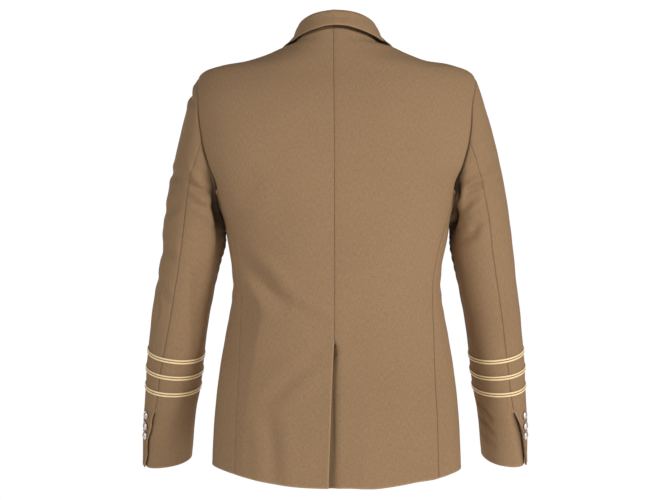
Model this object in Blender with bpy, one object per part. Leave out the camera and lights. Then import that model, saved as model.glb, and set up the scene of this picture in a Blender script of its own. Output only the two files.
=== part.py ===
"""Single-vent blazer, filled out with nobody in it.

Metres, +Z up. The front faces -Y and the wearer's left is +X. The origin lies midway between the
two side neck points, where the shoulders carry the blazer.

The body is a stack of rounded rings. A place on it is named by its turn round the ring (0 at the
wearer's left side, 90 degrees at the centre back, -90 at the centre front) and by its height. Each
cloth piece is a wall between its outer points and the same points moved in by the cloth thickness.
Right-hand pieces are the left-hand ones with x turned round.
"""
import math

import bmesh
import bpy
import numpy as np
from mathutils import Vector

CLOTH = 0.0020              # thickness of a cloth wall
GAP = 0.0003                # distance between neighbouring pieces
SIDES = {"left": 1.0, "right": -1.0}

# Body rings. "corner" is the power of the rounded ring, "ridge" thins it towards the shoulder line.
BODY = (
    # height, half_width, back, front, corner, ridge
    (-0.7150, 0.2038, 0.1240, 0.1350, 2.5, 0.00),
    (-0.6550, 0.2025, 0.1215, 0.1340, 2.5, 0.00),
    (-0.5960, 0.1990, 0.1160, 0.1320, 2.5, 0.00),
    (-0.5370, 0.1918, 0.1090, 0.1290, 2.5, 0.00),
    (-0.4785, 0.1820, 0.1025, 0.1250, 2.5, 0.00),
    (-0.4200, 0.1720, 0.0975, 0.1210, 2.5, 0.00),
    (-0.3805, 0.1705, 0.0960, 0.1190, 2.5, 0.00),
    (-0.3220, 0.1780, 0.1000, 0.1210, 2.5, 0.00),
    (-0.2930, 0.1815, 0.1050, 0.1240, 2.5, 0.00),
    (-0.2660, 0.1880, 0.1095, 0.1260, 2.6, 0.00),
    (-0.2340, 0.1980, 0.1140, 0.1270, 2.6, 0.00),
    (-0.2040, 0.2168, 0.1170, 0.1260, 2.6, 0.00),
    (-0.1660, 0.2320, 0.1155, 0.1210, 2.6, 0.05),
    (-0.1280, 0.2370, 0.1110, 0.1120, 2.6, 0.10),
    (-0.0920, 0.2350, 0.1030, 0.1020, 2.5, 0.15),
    (-0.0700, 0.2307, 0.0960, 0.0930, 2.4, 0.20),
    (-0.0560, 0.2262, 0.0900, 0.0860, 2.3, 0.25),
    (-0.0460, 0.2164, 0.0865, 0.0810, 2.2, 0.30),
    (-0.0364, 0.1900, 0.0835, 0.0760, 2.2, 0.38),
    (-0.0265, 0.1475, 0.0805, 0.0710, 2.2, 0.42),
    (-0.0167, 0.1164, 0.0775, 0.0660, 2.2, 0.38),
    (-0.0069, 0.0934, 0.0745, 0.0610, 2.2, 0.28),
    (0.0000, 0.0715, 0.0722, 0.0570, 2.2, 0.15),
    (0.0165, 0.0650, 0.0678, 0.0500, 2.2, 0.05),
    (0.0260, 0.0620, 0.0655, 0.0470, 2.2, 0.00),
)

# Armhole: the angle runs round the hole from the shoulder tip over the back to the underarm.
ARMHOLE = (
    # angle, turn, height
    (0.0, 0.0, -0.0560),
    (45.0, 25.5, -0.0920),
    (90.0, 31.3, -0.1660),
    (135.0, 25.0, -0.2420),
    (180.0, -3.6, -0.2800),
    (225.0, -25.8, -0.2520),
    (270.0, -30.0, -0.1950),
    (315.0, -23.0, -0.1060),
)
BODY_TIP = ARMHOLE[0][2]    # height of the shoulder tip
MARKS = 24                  # marks round the armhole, which the sleeve shares
HIND_MARK = 6               # hind seam of the sleeve
SIDE_BACK_MARK = 9          # side back seam of the body
SIDE_FRONT_MARK = 15        # side front seam of the body
FORE_MARK = 16              # fore seam of the sleeve

# Sleeve sections below the armhole; "rise" is the slope of the section across and fore and aft.
SLEEVE = (
    # height, x, y, half_width, half_depth, rise_x, rise_y, hind_angle
    (-0.2960, 0.2354, -0.0120, 0.0490, 0.0660, 0.14, -0.05, 80.0),
    (-0.3215, 0.2372, -0.0140, 0.0507, 0.0650, 0.14, -0.07, 78.0),
    (-0.3612, 0.2444, -0.0200, 0.0492, 0.0630, 0.14, -0.10, 78.0),
    (-0.4010, 0.2509, -0.0260, 0.0477, 0.0610, 0.13, -0.13, 76.5),
    (-0.4410, 0.2582, -0.0320, 0.0466, 0.0590, 0.11, -0.17, 76.5),
    (-0.4815, 0.2643, -0.0400, 0.0460, 0.0570, 0.13, -0.21, 76.0),
    (-0.5224, 0.2692, -0.0500, 0.0461, 0.0550, 0.11, -0.24, 74.0),
    (-0.5639, 0.2743, -0.0620, 0.0450, 0.0530, 0.05, -0.24, 72.0),
    (-0.6055, 0.2798, -0.0720, 0.0430, 0.0515, -0.02, -0.22, 65.0),
    (-0.6475, 0.2839, -0.0820, 0.0418, 0.0500, -0.08, -0.19, 52.0),
    (-0.6950, 0.2873, -0.0930, 0.0404, 0.0487, -0.12, -0.16, 38.0),
)
SLEEVE_FROM_HEM = tuple(sorted(SLEEVE))
SLEEVE_CORNER = 2.15
FORE_ANGLE = 237.0
SLEEVE_HEM = -0.6950
SLEEVE_LEAVE = (0.36, 0.06, 0.25, -0.85)   # way the head sets out: across, more at the tip, aft, down
LEAVE_PULL = 0.48           # share of the head over which it keeps to that way
ARRIVE_PULL = 0.95          # share over which it bends to the sections below
SLEEVE_SPREAD = {"left": 0.0014, "right": -0.0014}   # one cuff hangs further out than the other

NECK_SIDE = 0.0              # height of the neck seam at the shoulder seam
NECK_BACK = 0.0220          # height of the neck seam at the centre back
HEM_SIDE = -0.6855
HEM_BACK_DROP = 0.0222
HEM_FRONT_DROP = 0.0120

VENT_TOP = -0.4804
VENT_OPENING = 0.0100       # sideways opening of the vent at the hem
VENT_UNDERLAP = 0.0350
VENT_DROP = 0.0027          # how far the underlap lies inside the panel over it
VENT_DROP_ENDS = (0.0140, 0.0120)   # x at which that drop starts, and how far it takes to be full

SIDE_BACK_SEAM = (
    # height, x
    (-0.7100, 0.1625),
    (-0.5980, 0.1590),
    (-0.5380, 0.1565),
    (-0.4780, 0.1545),
    (-0.4116, 0.1535),
    (-0.3380, 0.1630),
    (-0.2880, 0.1760),
    (-0.2420, 0.1870),
)
SIDE_FRONT_SEAM = (
    # height, x
    (-0.7100, 0.1560),
    (-0.5500, 0.1500),
    (-0.4000, 0.1440),
    (-0.3200, 0.1600),
    (-0.2520, 0.1810),
)

FRONT_OVERLAP = 0.0200      # each front reaches this far past the centre front
FRONT_LIFT = 0.0030         # how far the left front lies outside the right one
LIFT_ENDS = (0.0950, 0.0650)    # x at which that lift starts, and how far it takes to be full
LIFT_DROP = (-0.1000, 0.1000)   # the same down the front
BREAK_HEIGHT = -0.3350      # where the lapel starts to turn out
GORGE = (0.0590, -0.0480)   # x and height where the roll line meets the neck seam
FRONT_CUTAWAY = (0.0650, 0.0600)   # width and height of the rounded front corner
LAPEL_TIP = (0.1400, -0.0960)
LAPEL_BELLY = (0.0900, -0.2100)
LAPEL_BULGE = 0.0030
LAPEL_SEAT = 0.0010         # space between the lapel and the front at the roll line
LAPEL_CLEAR = 0.0020        # how much wider that space is further out
LAPEL_START = {"left": 0.03, "right": 0.34}          # the right lapel starts where it comes free

# Places along the neck seam, from the centre back, 0, past the shoulder seam, 1, to the gorge, 2.
NECK_BACK_MARKS = (0.0, 0.05, 0.18, 0.36, 0.56, 0.78)
NECK_FRONT_MARKS = (1.25, 1.50, 1.75, 2.0)

# Collar: height of its stand, and place of its outer edge, at places along the neck seam.
COLLAR = (
    # neck mark, stand, edge x, y, z
    (0.00, 0.0188, 0.0000, 0.0738, 0.0178),
    (0.12, 0.0186, 0.0130, 0.0730, 0.0170),
    (0.33, 0.0180, 0.0351, 0.0666, 0.0122),
    (0.60, 0.0160, 0.0592, 0.0475, 0.0053),
    (0.85, 0.0125, 0.0730, 0.0320, -0.0010),
    (1.00, 0.0105, 0.0820, 0.0060, -0.0035),
    (1.25, 0.0080, 0.0980, -0.0360, -0.0160),
    (1.60, 0.0050, 0.1120, -0.0600, -0.0420),
    (2.00, 0.0036, 0.1060, -0.0780, -0.0720),
)
COLLAR_FOLD = 0.0026        # outer radius of the collar fold
SEAM_LIFT = 0.0008          # height of the foot of the collar over the neck seam
COLLAR_CLEAR = 0.0016       # space between the fall of the collar and the cloth below it

BRAID_HEIGHTS = (-0.5070, -0.5350, -0.5640)
BRAID_PROFILE = (
    # along the sleeve, out from the cloth
    (-0.0038, 0.0006),
    (-0.0022, 0.0022),
    (0.0022, 0.0022),
    (0.0038, 0.0006),
)

CUFF_BUTTON_HEIGHTS = (-0.6060, -0.6240, -0.6400)
CUFF_BUTTON_ANGLE = 37.0    # round the sleeve from its outer side
CUFF_BUTTON_RADIUS = 0.0074
FRONT_BUTTON_HEIGHTS = (-0.3550, -0.4550)
FRONT_BUTTON_RADIUS = 0.0100
SHANK_HEIGHT = 0.0016
SLIT_OVERLAP = 0.3          # marks that the top sleeve laps over the under sleeve at the cuff
SLIT_LIFT = 0.0031          # how far it lies outside the under sleeve there
SLIT_HINGE = 0.75           # share of the last mark at which it is fully lifted

MATERIALS = {
    # name: (colour, roughness, metallic)
    "cloth": ((0.30, 0.19, 0.10, 1.0), 0.90, 0.0),
    "gold_braid": ((0.72, 0.48, 0.16, 1.0), 0.45, 0.4),
    "button_metal": ((0.62, 0.60, 0.58, 1.0), 0.30, 1.0),
}


def clear_scene():
    for thing in list(bpy.data.objects):
        bpy.data.objects.remove(thing, do_unlink=True)


def material(name):
    found = bpy.data.materials.get(name)
    if found:
        return found
    colour, roughness, metallic = MATERIALS[name]
    made = bpy.data.materials.new(name)
    made.use_nodes = True
    shader = made.node_tree.nodes["Principled BSDF"]
    shader.inputs["Base Color"].default_value = colour
    shader.inputs["Roughness"].default_value = roughness
    shader.inputs["Metallic"].default_value = metallic
    return made


def through(rows, column, at):
    """Smooth curve through one column of a table, with no bumps between its rows."""
    keys = np.array([row[0] for row in rows])
    values = np.array([row[column] for row in rows])
    slopes = np.diff(values) / np.diff(keys)
    lean = np.zeros(len(keys))
    lean[0], lean[-1] = slopes[0], slopes[-1]
    for i in range(1, len(keys) - 1):
        if slopes[i - 1] * slopes[i] > 0.0:
            lean[i] = 2.0 * slopes[i - 1] * slopes[i] / (slopes[i - 1] + slopes[i])
    at = min(max(at, keys[0]), keys[-1])
    i = min(int(np.searchsorted(keys, at, side="right")) - 1, len(keys) - 2)
    width = keys[i + 1] - keys[i]
    s = (at - keys[i]) / width
    return (values[i] * (1 + 2 * s) * (1 - s) ** 2 + values[i + 1] * s * s * (3 - 2 * s)
            + width * (lean[i] * s * (1 - s) ** 2 - lean[i + 1] * s * s * (1 - s)))


def unit(vector):
    return vector / np.linalg.norm(vector)


def ease(value):
    value = min(max(value, 0.0), 1.0)
    return value * value * (3.0 - 2.0 * value)


# --- body surface ---------------------------------------------------------------------------------

def ring(height):
    return [through(BODY, column, height) for column in range(1, 6)]


def body_point(turn, height):
    half_width, back, front, corner, ridge = ring(height)
    across, aft = math.cos(turn), math.sin(turn)
    reach = (abs(across) ** corner + abs(aft) ** corner) ** (-1.0 / corner)
    depth = back if aft >= 0.0 else front
    share = reach * across
    return np.array((half_width * share, depth * reach * aft * (1.0 - ridge * share ** 2), height))


def body_normal(turn, height):
    step = 0.002
    round_it = body_point(turn + step, height) - body_point(turn - step, height)
    up_it = body_point(turn, height + step) - body_point(turn, height - step)
    return unit(np.cross(round_it, up_it))


def turn_at(x, height, back=True):
    """Turn of the place on the back, or front, that lies at this x."""
    half_width, _, _, corner, _ = ring(height)
    share = min(max(x / half_width, -1.0), 1.0)
    aft = (1.0 - abs(share) ** corner) ** (1.0 / corner)
    return math.atan2(aft if back else -aft, share)


def height_on_shoulder(x):
    """Height of the shoulder seam at this x."""
    low, high = BODY_TIP, NECK_SIDE
    for _ in range(40):
        middle = 0.5 * (low + high)
        if ring(middle)[0] > x:
            low = middle
        else:
            high = middle
    return 0.5 * (low + high)


def hem_height(turn):
    half_width, _, _, corner, _ = ring(HEM_SIDE)
    across, aft = math.cos(turn), math.sin(turn)
    aft *= (abs(across) ** corner + abs(aft) ** corner) ** (-1.0 / corner)
    if aft >= 0.0:
        return HEM_SIDE - HEM_BACK_DROP * aft ** 4
    return HEM_SIDE - HEM_FRONT_DROP * aft ** 2


def armhole_place(mark):
    """Turn and height of a place on the armhole."""
    angle = (mark * 360.0 / MARKS) % 360.0
    count = len(ARMHOLE)
    i = int(angle // 45.0)
    s = angle / 45.0 - i
    four = [ARMHOLE[(i + k) % count] for k in (-1, 0, 1, 2)]
    place = []
    for column in (1, 2):
        a, b, c, d = (row[column] for row in four)
        place.append(b + 0.5 * s * (c - a + s * (2 * a - 5 * b + 4 * c - d
                                                 + s * (3 * (b - c) + d - a))))
    return math.radians(place[0]), place[1]


# --- cloth walls ----------------------------------------------------------------------------------

def make_object(name, mesh_data, slot, sharp=40.0):
    mesh = bpy.data.meshes.new(name)
    bmesh.ops.recalc_face_normals(mesh_data, faces=mesh_data.faces)
    mesh_data.to_mesh(mesh)
    mesh_data.free()
    mesh.shade_smooth()
    mesh.set_sharp_from_angle(angle=math.radians(sharp))
    mesh.materials.append(material(slot))
    made = bpy.data.objects.new(name, mesh)
    bpy.context.scene.collection.objects.link(made)
    return made


def wall(name, outer, inner, slot="cloth"):
    """Closed wall between two grids of points."""
    data = bmesh.new()
    rows, columns = outer.shape[:2]
    grids = []
    for points in (outer, inner):
        grids.append([[data.verts.new(points[r, c]) for c in range(columns)] for r in range(rows)])
    top, under = grids
    for r in range(rows - 1):
        for c in range(columns - 1):
            data.faces.new((top[r][c], top[r][c + 1], top[r + 1][c + 1], top[r + 1][c]))
            data.faces.new((under[r][c], under[r + 1][c], under[r + 1][c + 1], under[r][c + 1]))
    for r in range(rows - 1):
        for c in (0, columns - 1):
            data.faces.new((top[r][c], top[r + 1][c], under[r + 1][c], under[r][c]))
    for c in range(columns - 1):
        for r in (0, rows - 1):
            data.faces.new((top[r][c], top[r][c + 1], under[r][c + 1], under[r][c]))
    return make_object(name, data, slot)


def drawn_in(points, borders):
    """Move borders of a grid in by half a seam gap, along the grid."""
    moved = points.copy()
    for border in borders:
        axis, edge, beside = {"bottom": (0, 0, 1), "top": (0, -1, -2),
                              "start": (1, 0, 1), "end": (1, -1, -2)}[border]
        line = np.take(points, edge, axis=axis)
        step = np.take(points, beside, axis=axis) - line
        step *= 0.5 * GAP / np.linalg.norm(step, axis=1, keepdims=True)
        if axis == 0:
            moved[edge] += step
        else:
            moved[:, edge] += step
    return moved


def patch(bottom, top, start, end):
    """Grid of (turn, height) places between four border lines."""
    bottom, top, start, end = (np.array(line) for line in (bottom, top, start, end))
    rows, columns = len(start), len(bottom)
    grid = np.zeros((rows, columns, 2))
    for r in range(rows):
        v = r / (rows - 1)
        for c in range(columns):
            u = c / (columns - 1)
            corners = ((1 - u) * (1 - v) * bottom[0] + u * (1 - v) * bottom[-1]
                       + (1 - u) * v * top[0] + u * v * top[-1])
            grid[r, c] = ((1 - v) * bottom[c] + v * top[c] + (1 - u) * start[r] + u * end[r]
                          - corners)
    return grid


def seen_flat(places):
    """The same places as (x, height)."""
    return [(body_point(turn, height)[0], height) for turn, height in places]


def facing_patch(bottom, top, start, end, back):
    """Grid of places on the back or the front, spread evenly as seen from behind or in front."""
    grid = patch(*(seen_flat(line) for line in (bottom, top, start, end)))
    for row in grid[1:-1]:
        for place in row[1:-1]:
            place[0] = turn_at(place[0], place[1], back)
    grid[0], grid[-1] = bottom, top
    grid[:, 0], grid[:, -1] = start, end
    return grid


def rising(low, top, first_mark, last_mark):
    """Heights that climb from low to top in step with the marks up the armhole."""
    heights = [armhole_place(mark)[1] for mark in
               range(first_mark, last_mark, 1 if last_mark > first_mark else -1)][1:]
    foot, tip = armhole_place(first_mark)[1], armhole_place(last_mark)[1]
    return [low + (top - low) * (h - foot) / (tip - foot) for h in heights + [tip]]


def body_panel(name, side, places, borders, lift=None):
    """Cloth panel of the body over a grid of places."""
    rows, columns = places.shape[:2]
    outer = np.zeros((rows, columns, 3))
    normals = np.zeros((rows, columns, 3))
    for r in range(rows):
        for c in range(columns):
            turn, height = places[r, c]
            outer[r, c] = body_point(turn, height)
            normals[r, c] = body_normal(turn, height)
            if lift:
                outer[r, c] += normals[r, c] * lift(outer[r, c], r)
    outer = drawn_in(outer, borders)
    inner = outer - normals * CLOTH
    mirror = np.array((SIDES[side], 1.0, 1.0))
    return wall(name, outer * mirror, inner * mirror)


# --- body panels ----------------------------------------------------------------------------------

BELOW_VENT_ROWS = 5
ABOVE_VENT_ROWS = 7
SEAM_ROWS = BELOW_VENT_ROWS + 1 + ABOVE_VENT_ROWS
SHOULDER_STEPS = 5
VENT_BLEND = 0.0350         # the opening of the vent fades out this far from the centre back


def seam_heights(hem, top):
    low = np.linspace(hem, VENT_TOP, BELOW_VENT_ROWS + 1)
    high = np.linspace(VENT_TOP + 0.008, top, ABOVE_VENT_ROWS + 1)
    return list(low) + list(high)


def side_line(seam, mark, back):
    """Places up a side seam, from the hem to the armhole."""
    turn = turn_at(seam[0][1], seam[0][0], back)
    _, top = armhole_place(mark)
    line = [(turn_at(through(seam, 1, h), h, back), h) for h in seam_heights(hem_height(turn), top)]
    line[-1] = armhole_place(mark)
    return line


def neck_place(mark):
    """Place on the neck seam: centre back at 0, shoulder seam at 1, gorge at 2."""
    if mark <= 1.0:
        turn = 0.5 * math.pi * (1.0 - mark)
        return turn, NECK_SIDE + (NECK_BACK - NECK_SIDE) * math.sin(turn) ** 1.3
    share = mark - 1.0
    x = ring(NECK_SIDE)[0] * (1.0 - share) + GORGE[0] * share
    height = NECK_SIDE + (GORGE[1] - NECK_SIDE) * share ** 1.8
    return turn_at(x, height, False), height


def shoulder_line():
    """Places along the shoulder seam, from the neck to the tip."""
    neck_x, tip_x = ring(NECK_SIDE)[0], ring(BODY_TIP)[0]
    line = [(0.0, height_on_shoulder(x)) for x in np.linspace(neck_x, tip_x, SHOULDER_STEPS + 1)]
    line[0], line[-1] = (0.0, NECK_SIDE), (0.0, BODY_TIP)
    return line


def back_panel(side):
    """Half of the back: centre back seam and vent, side back seam, armhole, shoulder and neck."""
    over = side == "left"
    end = side_line(SIDE_BACK_SEAM, SIDE_BACK_MARK, True)
    end += [armhole_place(mark) for mark in range(SIDE_BACK_MARK - 1, -1, -1)]
    top = [neck_place(mark) for mark in NECK_BACK_MARKS] + shoulder_line()
    bottom = []
    for x in (0.0, 0.005, 0.014, 0.029, 0.048, 0.067, 0.086, 0.105, 0.122, 0.138, 0.151):
        turn = turn_at(x, HEM_SIDE)
        bottom.append((turn, hem_height(turn)))
    bottom.append(end[0])
    low = [h for _, h in end[:SEAM_ROWS + 1]]
    low[0] = bottom[0][1]
    low += rising(low[-1], NECK_BACK, SIDE_BACK_MARK, 0)
    start = [(0.5 * math.pi, height) for height in low]
    places = facing_patch(bottom, top, start, end, True)
    for row in range(BELOW_VENT_ROWS):
        share = (VENT_TOP - start[row][1]) / (VENT_TOP - start[0][1])
        for column in range(4):
            turn, height = places[row, column]
            x = body_point(turn, height)[0]
            if over:
                x += VENT_OPENING * share ** 0.8 * max(1.0 - x / VENT_BLEND, 0.0)
            elif column == 0:
                x = -VENT_UNDERLAP
            places[row, column, 0] = turn_at(x, height)

    def lift(point, row):
        if over or row > BELOW_VENT_ROWS:
            return 0.0
        return -VENT_DROP * ease((VENT_DROP_ENDS[0] - point[0]) / VENT_DROP_ENDS[1])

    return body_panel("back_" + side, side, places, ("start", "end", "top"), lift)


def side_panel(side):
    start = side_line(SIDE_BACK_SEAM, SIDE_BACK_MARK, True)
    end = side_line(SIDE_FRONT_SEAM, SIDE_FRONT_MARK, False)
    top = [armhole_place(mark) for mark in range(SIDE_BACK_MARK, SIDE_FRONT_MARK + 1)]
    bottom = []
    for share in np.linspace(0.0, 1.0, len(top)):
        turn = start[0][0] + (end[0][0] - start[0][0]) * share
        bottom.append((turn, hem_height(turn)))
    return body_panel("side_" + side, side, patch(bottom, top, start, end), ("start", "end"))


def roll_x(height):
    """x of the front edge: straight below the break, along the roll line above it."""
    if height > BREAK_HEIGHT:
        share = (height - BREAK_HEIGHT) / (GORGE[1] - BREAK_HEIGHT)
        return -FRONT_OVERLAP + (GORGE[0] + FRONT_OVERLAP) * share
    corner = (HEM_SIDE - HEM_FRONT_DROP + FRONT_CUTAWAY[1] - height) / FRONT_CUTAWAY[1]
    corner = min(max(corner, 0.0), 1.0)
    return -FRONT_OVERLAP + FRONT_CUTAWAY[0] * (1.0 - math.sqrt(1.0 - corner ** 2))


def front_lift(side, x, height):
    """The left front lies outside the right one where they cross, and eases back to the body."""
    if side == "right":
        return 0.0
    from_side = (LIFT_ENDS[0] - x) / LIFT_ENDS[1]
    from_top = (LIFT_DROP[0] - height) / LIFT_DROP[1]
    return FRONT_LIFT * ease(from_side) * ease(from_top)


def front_panel(side):
    """Front from the side seam to the front edge and the roll line of its lapel."""
    end = side_line(SIDE_FRONT_SEAM, SIDE_FRONT_MARK, False)
    end += [armhole_place(mark) for mark in range(SIDE_FRONT_MARK + 1, MARKS + 1)]
    low = [h for _, h in end[:SEAM_ROWS + 1]]
    low[0] = HEM_SIDE - HEM_FRONT_DROP
    low += rising(low[-1], GORGE[1], SIDE_FRONT_MARK, MARKS)
    start = [(turn_at(roll_x(h), h, False), h) for h in low]
    top = [neck_place(mark) for mark in reversed(NECK_FRONT_MARKS)] + shoulder_line()
    bottom = []
    for x in np.linspace(roll_x(low[0]), SIDE_FRONT_SEAM[0][1], len(top)):
        turn = turn_at(x, HEM_SIDE, False)
        bottom.append((turn, hem_height(turn)))
    bottom[0], bottom[-1] = start[0], end[0]
    places = facing_patch(bottom, top, start, end, False)
    return body_panel("front_" + side, side, places, ("end", "top"),
                      lambda point, row: front_lift(side, point[0], point[2]))


# --- lapels and collar ----------------------------------------------------------------------------

def on_front(x, height, lift):
    turn = turn_at(x, height, False)
    return body_point(turn, height) + body_normal(turn, height) * lift


def lapel(side):
    """Lapel turned out over the front, from the break to the gorge and the notch."""
    rows, columns = 9, 6
    outer = np.zeros((rows, columns, 3))
    inner = np.zeros((rows, columns, 3))
    foot = np.array((-FRONT_OVERLAP, BREAK_HEIGHT))
    gorge = np.array((GORGE[0] + 0.004, GORGE[1] - 0.006))
    belly, tip = np.array(LAPEL_BELLY), np.array(LAPEL_TIP)
    for r in range(rows):
        along = LAPEL_START[side] + (1.0 - LAPEL_START[side]) * r / (rows - 1)
        rolled = foot + (gorge - foot) * along
        edge = (1 - along) ** 2 * foot + 2 * along * (1 - along) * belly + along ** 2 * tip
        for c in range(columns):
            across = c / (columns - 1)
            x, height = rolled + (edge - rolled) * across
            lift = front_lift(side, x, height) + CLOTH + LAPEL_SEAT
            lift += LAPEL_CLEAR * ease(4.0 * across) + LAPEL_BULGE * math.sin(math.pi * across)
            outer[r, c] = on_front(x, height, lift)
            inner[r, c] = on_front(x, height, lift - CLOTH)
    mirror = np.array((SIDES[side], 1.0, 1.0))
    return wall("lapel_" + side, outer * mirror, inner * mirror)


def outside_body(point, clearance):
    """Point moved out to lie at least this far outside the body."""
    half_width, back, front, _, _ = ring(point[2])
    turn = math.atan2(point[1] / (back if point[1] >= 0.0 else front), point[0] / half_width)
    skin, normal = body_point(turn, point[2]), body_normal(turn, point[2])
    short = clearance - np.dot(point - skin, normal)
    return point + normal * max(short, 0.0)


def collar_row(mark):
    """Points across the collar, from the neck seam over the fold to the outer edge."""
    place = neck_place(mark)
    before, after = (body_point(*neck_place(mark + step)) for step in (-0.01, 0.01))
    normal = body_normal(*place)
    rising_way = unit(np.cross(after - before, normal))
    seam = body_point(*place) - normal * CLOTH + rising_way * SEAM_LIFT
    fold = seam + rising_way * through(COLLAR, 1, mark) + normal * COLLAR_FOLD
    edge = np.array([through(COLLAR, 2 + axis, mark) for axis in range(3)])
    edge = outside_body(edge, CLOTH + COLLAR_CLEAR)
    outward = edge - seam
    upward = unit(fold - 0.5 * (seam + edge))
    outward = unit(outward - upward * np.dot(outward, upward))
    points = [seam, 0.5 * (seam + fold - outward * COLLAR_FOLD)]
    for degrees in (180.0, 135.0, 90.0, 45.0, 0.0):
        turn = math.radians(degrees)
        points.append(fold + COLLAR_FOLD * (outward * math.cos(turn) + upward * math.sin(turn)))
    last = points[-1]
    for share in (1 / 3, 2 / 3):
        points.append(outside_body(last + (edge - last) * share, CLOTH + COLLAR_CLEAR))
    return np.array(points + [edge])


def collar():
    """One folded piece round the neck: a stand inside and a fall outside."""
    rows = [collar_row(mark) for mark in NECK_BACK_MARKS + (1.0,) + NECK_FRONT_MARKS]
    mirrored = [row * np.array((-1.0, 1.0, 1.0)) for row in rows[:0:-1]]
    outer = np.array(mirrored + rows)
    count = len(outer)
    normals = np.zeros_like(outer)
    for r in range(count):
        for c in range(outer.shape[1]):
            r0, r1 = max(r - 1, 0), min(r + 1, count - 1)
            c0, c1 = max(c - 1, 0), min(c + 1, outer.shape[1] - 1)
            normals[r, c] = unit(np.cross(outer[r, c1] - outer[r, c0], outer[r1, c] - outer[r0, c]))
    return wall("collar", outer, outer - normals * CLOTH)


# --- sleeves --------------------------------------------------------------------------------------

def section_angle(mark, height):
    """Angle on a sleeve section of a place that starts at this mark of the armhole."""
    hind = through(SLEEVE_FROM_HEM, 7, height)
    marks = (0.0, HIND_MARK, FORE_MARK, MARKS)
    return math.radians(np.interp(mark % MARKS, marks, (0.0, hind, FORE_ANGLE, 360.0)))


def section_point(side, angle, height):
    x, y, half_width, half_depth, rise_x, rise_y = (through(SLEEVE_FROM_HEM, column, height)
                                                    for column in range(1, 7))
    share = (SLEEVE[0][0] - height) / (SLEEVE[0][0] - SLEEVE_HEM)
    x += SLEEVE_SPREAD[side] * share
    half_width += SLEEVE_SPREAD[side] * share
    across, aft = math.cos(angle), math.sin(angle)
    reach = (abs(across) ** SLEEVE_CORNER + abs(aft) ** SLEEVE_CORNER) ** (-1.0 / SLEEVE_CORNER)
    dx = half_width * reach * across
    dy = half_depth * reach * aft
    return np.array((x + dx, y + dy, height + rise_x * dx + rise_y * dy))


def sleeve_point(side, mark, along):
    """Sleeve surface: the head for along 0 to 1, then the straight part from 1 to 2."""
    top = SLEEVE[0][0]
    if along >= 1.0:
        height = top + (SLEEVE_HEM - top) * (along - 1.0)
        return section_point(side, section_angle(mark, height), height)
    turn, height = armhole_place(mark)
    normal = body_normal(turn, height)
    angle = mark * 2.0 * math.pi / MARKS
    before, after = (body_point(*armhole_place(mark + step)) for step in (-0.1, 0.1))
    inward = np.cross(unit(after - before), normal)
    first = body_point(turn, height) + (normal + inward) * GAP
    across, more, aft, down = SLEEVE_LEAVE
    leave = unit(np.array((across + more * math.cos(angle), aft * math.sin(angle), down)))
    last = section_point(side, section_angle(mark, top), top)
    below = section_point(side, section_angle(mark, top - 0.01), top - 0.01)
    chord = np.linalg.norm(last - first)
    leave = leave * chord * LEAVE_PULL
    arrive = unit(below - last) * chord * ARRIVE_PULL
    s = along
    return (first * (1 + 2 * s) * (1 - s) ** 2 + last * s * s * (3 - 2 * s)
            + leave * s * (1 - s) ** 2 - arrive * s * s * (1 - s))


def sleeve_normal(side, mark, along):
    step_mark, step_along = 0.02, 0.004
    low, high = max(along - step_along, 0.0), min(along + step_along, 2.0)
    round_it = (sleeve_point(side, mark + step_mark, along)
                - sleeve_point(side, mark - step_mark, along))
    down_it = sleeve_point(side, mark, high) - sleeve_point(side, mark, low)
    return unit(np.cross(down_it, round_it))


HEAD_STEPS = (0.0, 0.12, 0.30, 0.50, 0.75)
SLEEVE_ROWS = (-0.2960, -0.3350, -0.3750, -0.4150, -0.4550, -0.4950, -0.5350, -0.5700,
               -0.5905, -0.5985, -0.6450, SLEEVE_HEM)
SLIT_ROWS = 3               # rows at the cuff along which the hind seam is open


def sleeve_along(height):
    return 1.0 + (height - SLEEVE[0][0]) / (SLEEVE_HEM - SLEEVE[0][0])


def sleeve_half(name, side, first_mark, last_mark, slit):
    """Half of a sleeve; with a slit, its last edge laps over the other half at the cuff."""
    steps = list(HEAD_STEPS) + [sleeve_along(height) for height in SLEEVE_ROWS]
    marks = list(range(first_mark, last_mark + 1))
    if slit:
        marks.insert(-1, last_mark - 1 + SLIT_HINGE)
    outer = np.zeros((len(steps), len(marks), 3))
    normals = np.zeros((len(steps), len(marks), 3))
    for r, along in enumerate(steps):
        for c, mark in enumerate(marks):
            outer[r, c] = sleeve_point(side, mark, along)
            normals[r, c] = sleeve_normal(side, mark, along)
    outer = drawn_in(outer, ("start", "end"))
    if slit:
        outer[:, -2] = outer[:, -3] + (outer[:, -1] - outer[:, -3]) * SLIT_HINGE
        for r in range(len(steps) - SLIT_ROWS, len(steps)):
            lap = 0.0 if r == len(steps) - SLIT_ROWS else SLIT_OVERLAP
            for c, mark in ((-2, marks[-2]), (-1, last_mark + lap)):
                normals[r, c] = sleeve_normal(side, mark, steps[r])
                outer[r, c] = sleeve_point(side, mark, steps[r]) + normals[r, c] * SLIT_LIFT
        corner = len(steps) - SLIT_ROWS
        outer[corner, -1] += unit(outer[corner, -2] - outer[corner, -1]) * 0.5 * GAP
    mirror = np.array((SIDES[side], 1.0, 1.0))
    return wall(name, outer * mirror, (outer - normals * CLOTH) * mirror)


def sleeve(side):
    sleeve_half("sleeve_" + side + "_top", side, FORE_MARK - MARKS, HIND_MARK, True)
    sleeve_half("sleeve_" + side + "_under", side, HIND_MARK, FORE_MARK, False)


# --- trim -----------------------------------------------------------------------------------------

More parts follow.
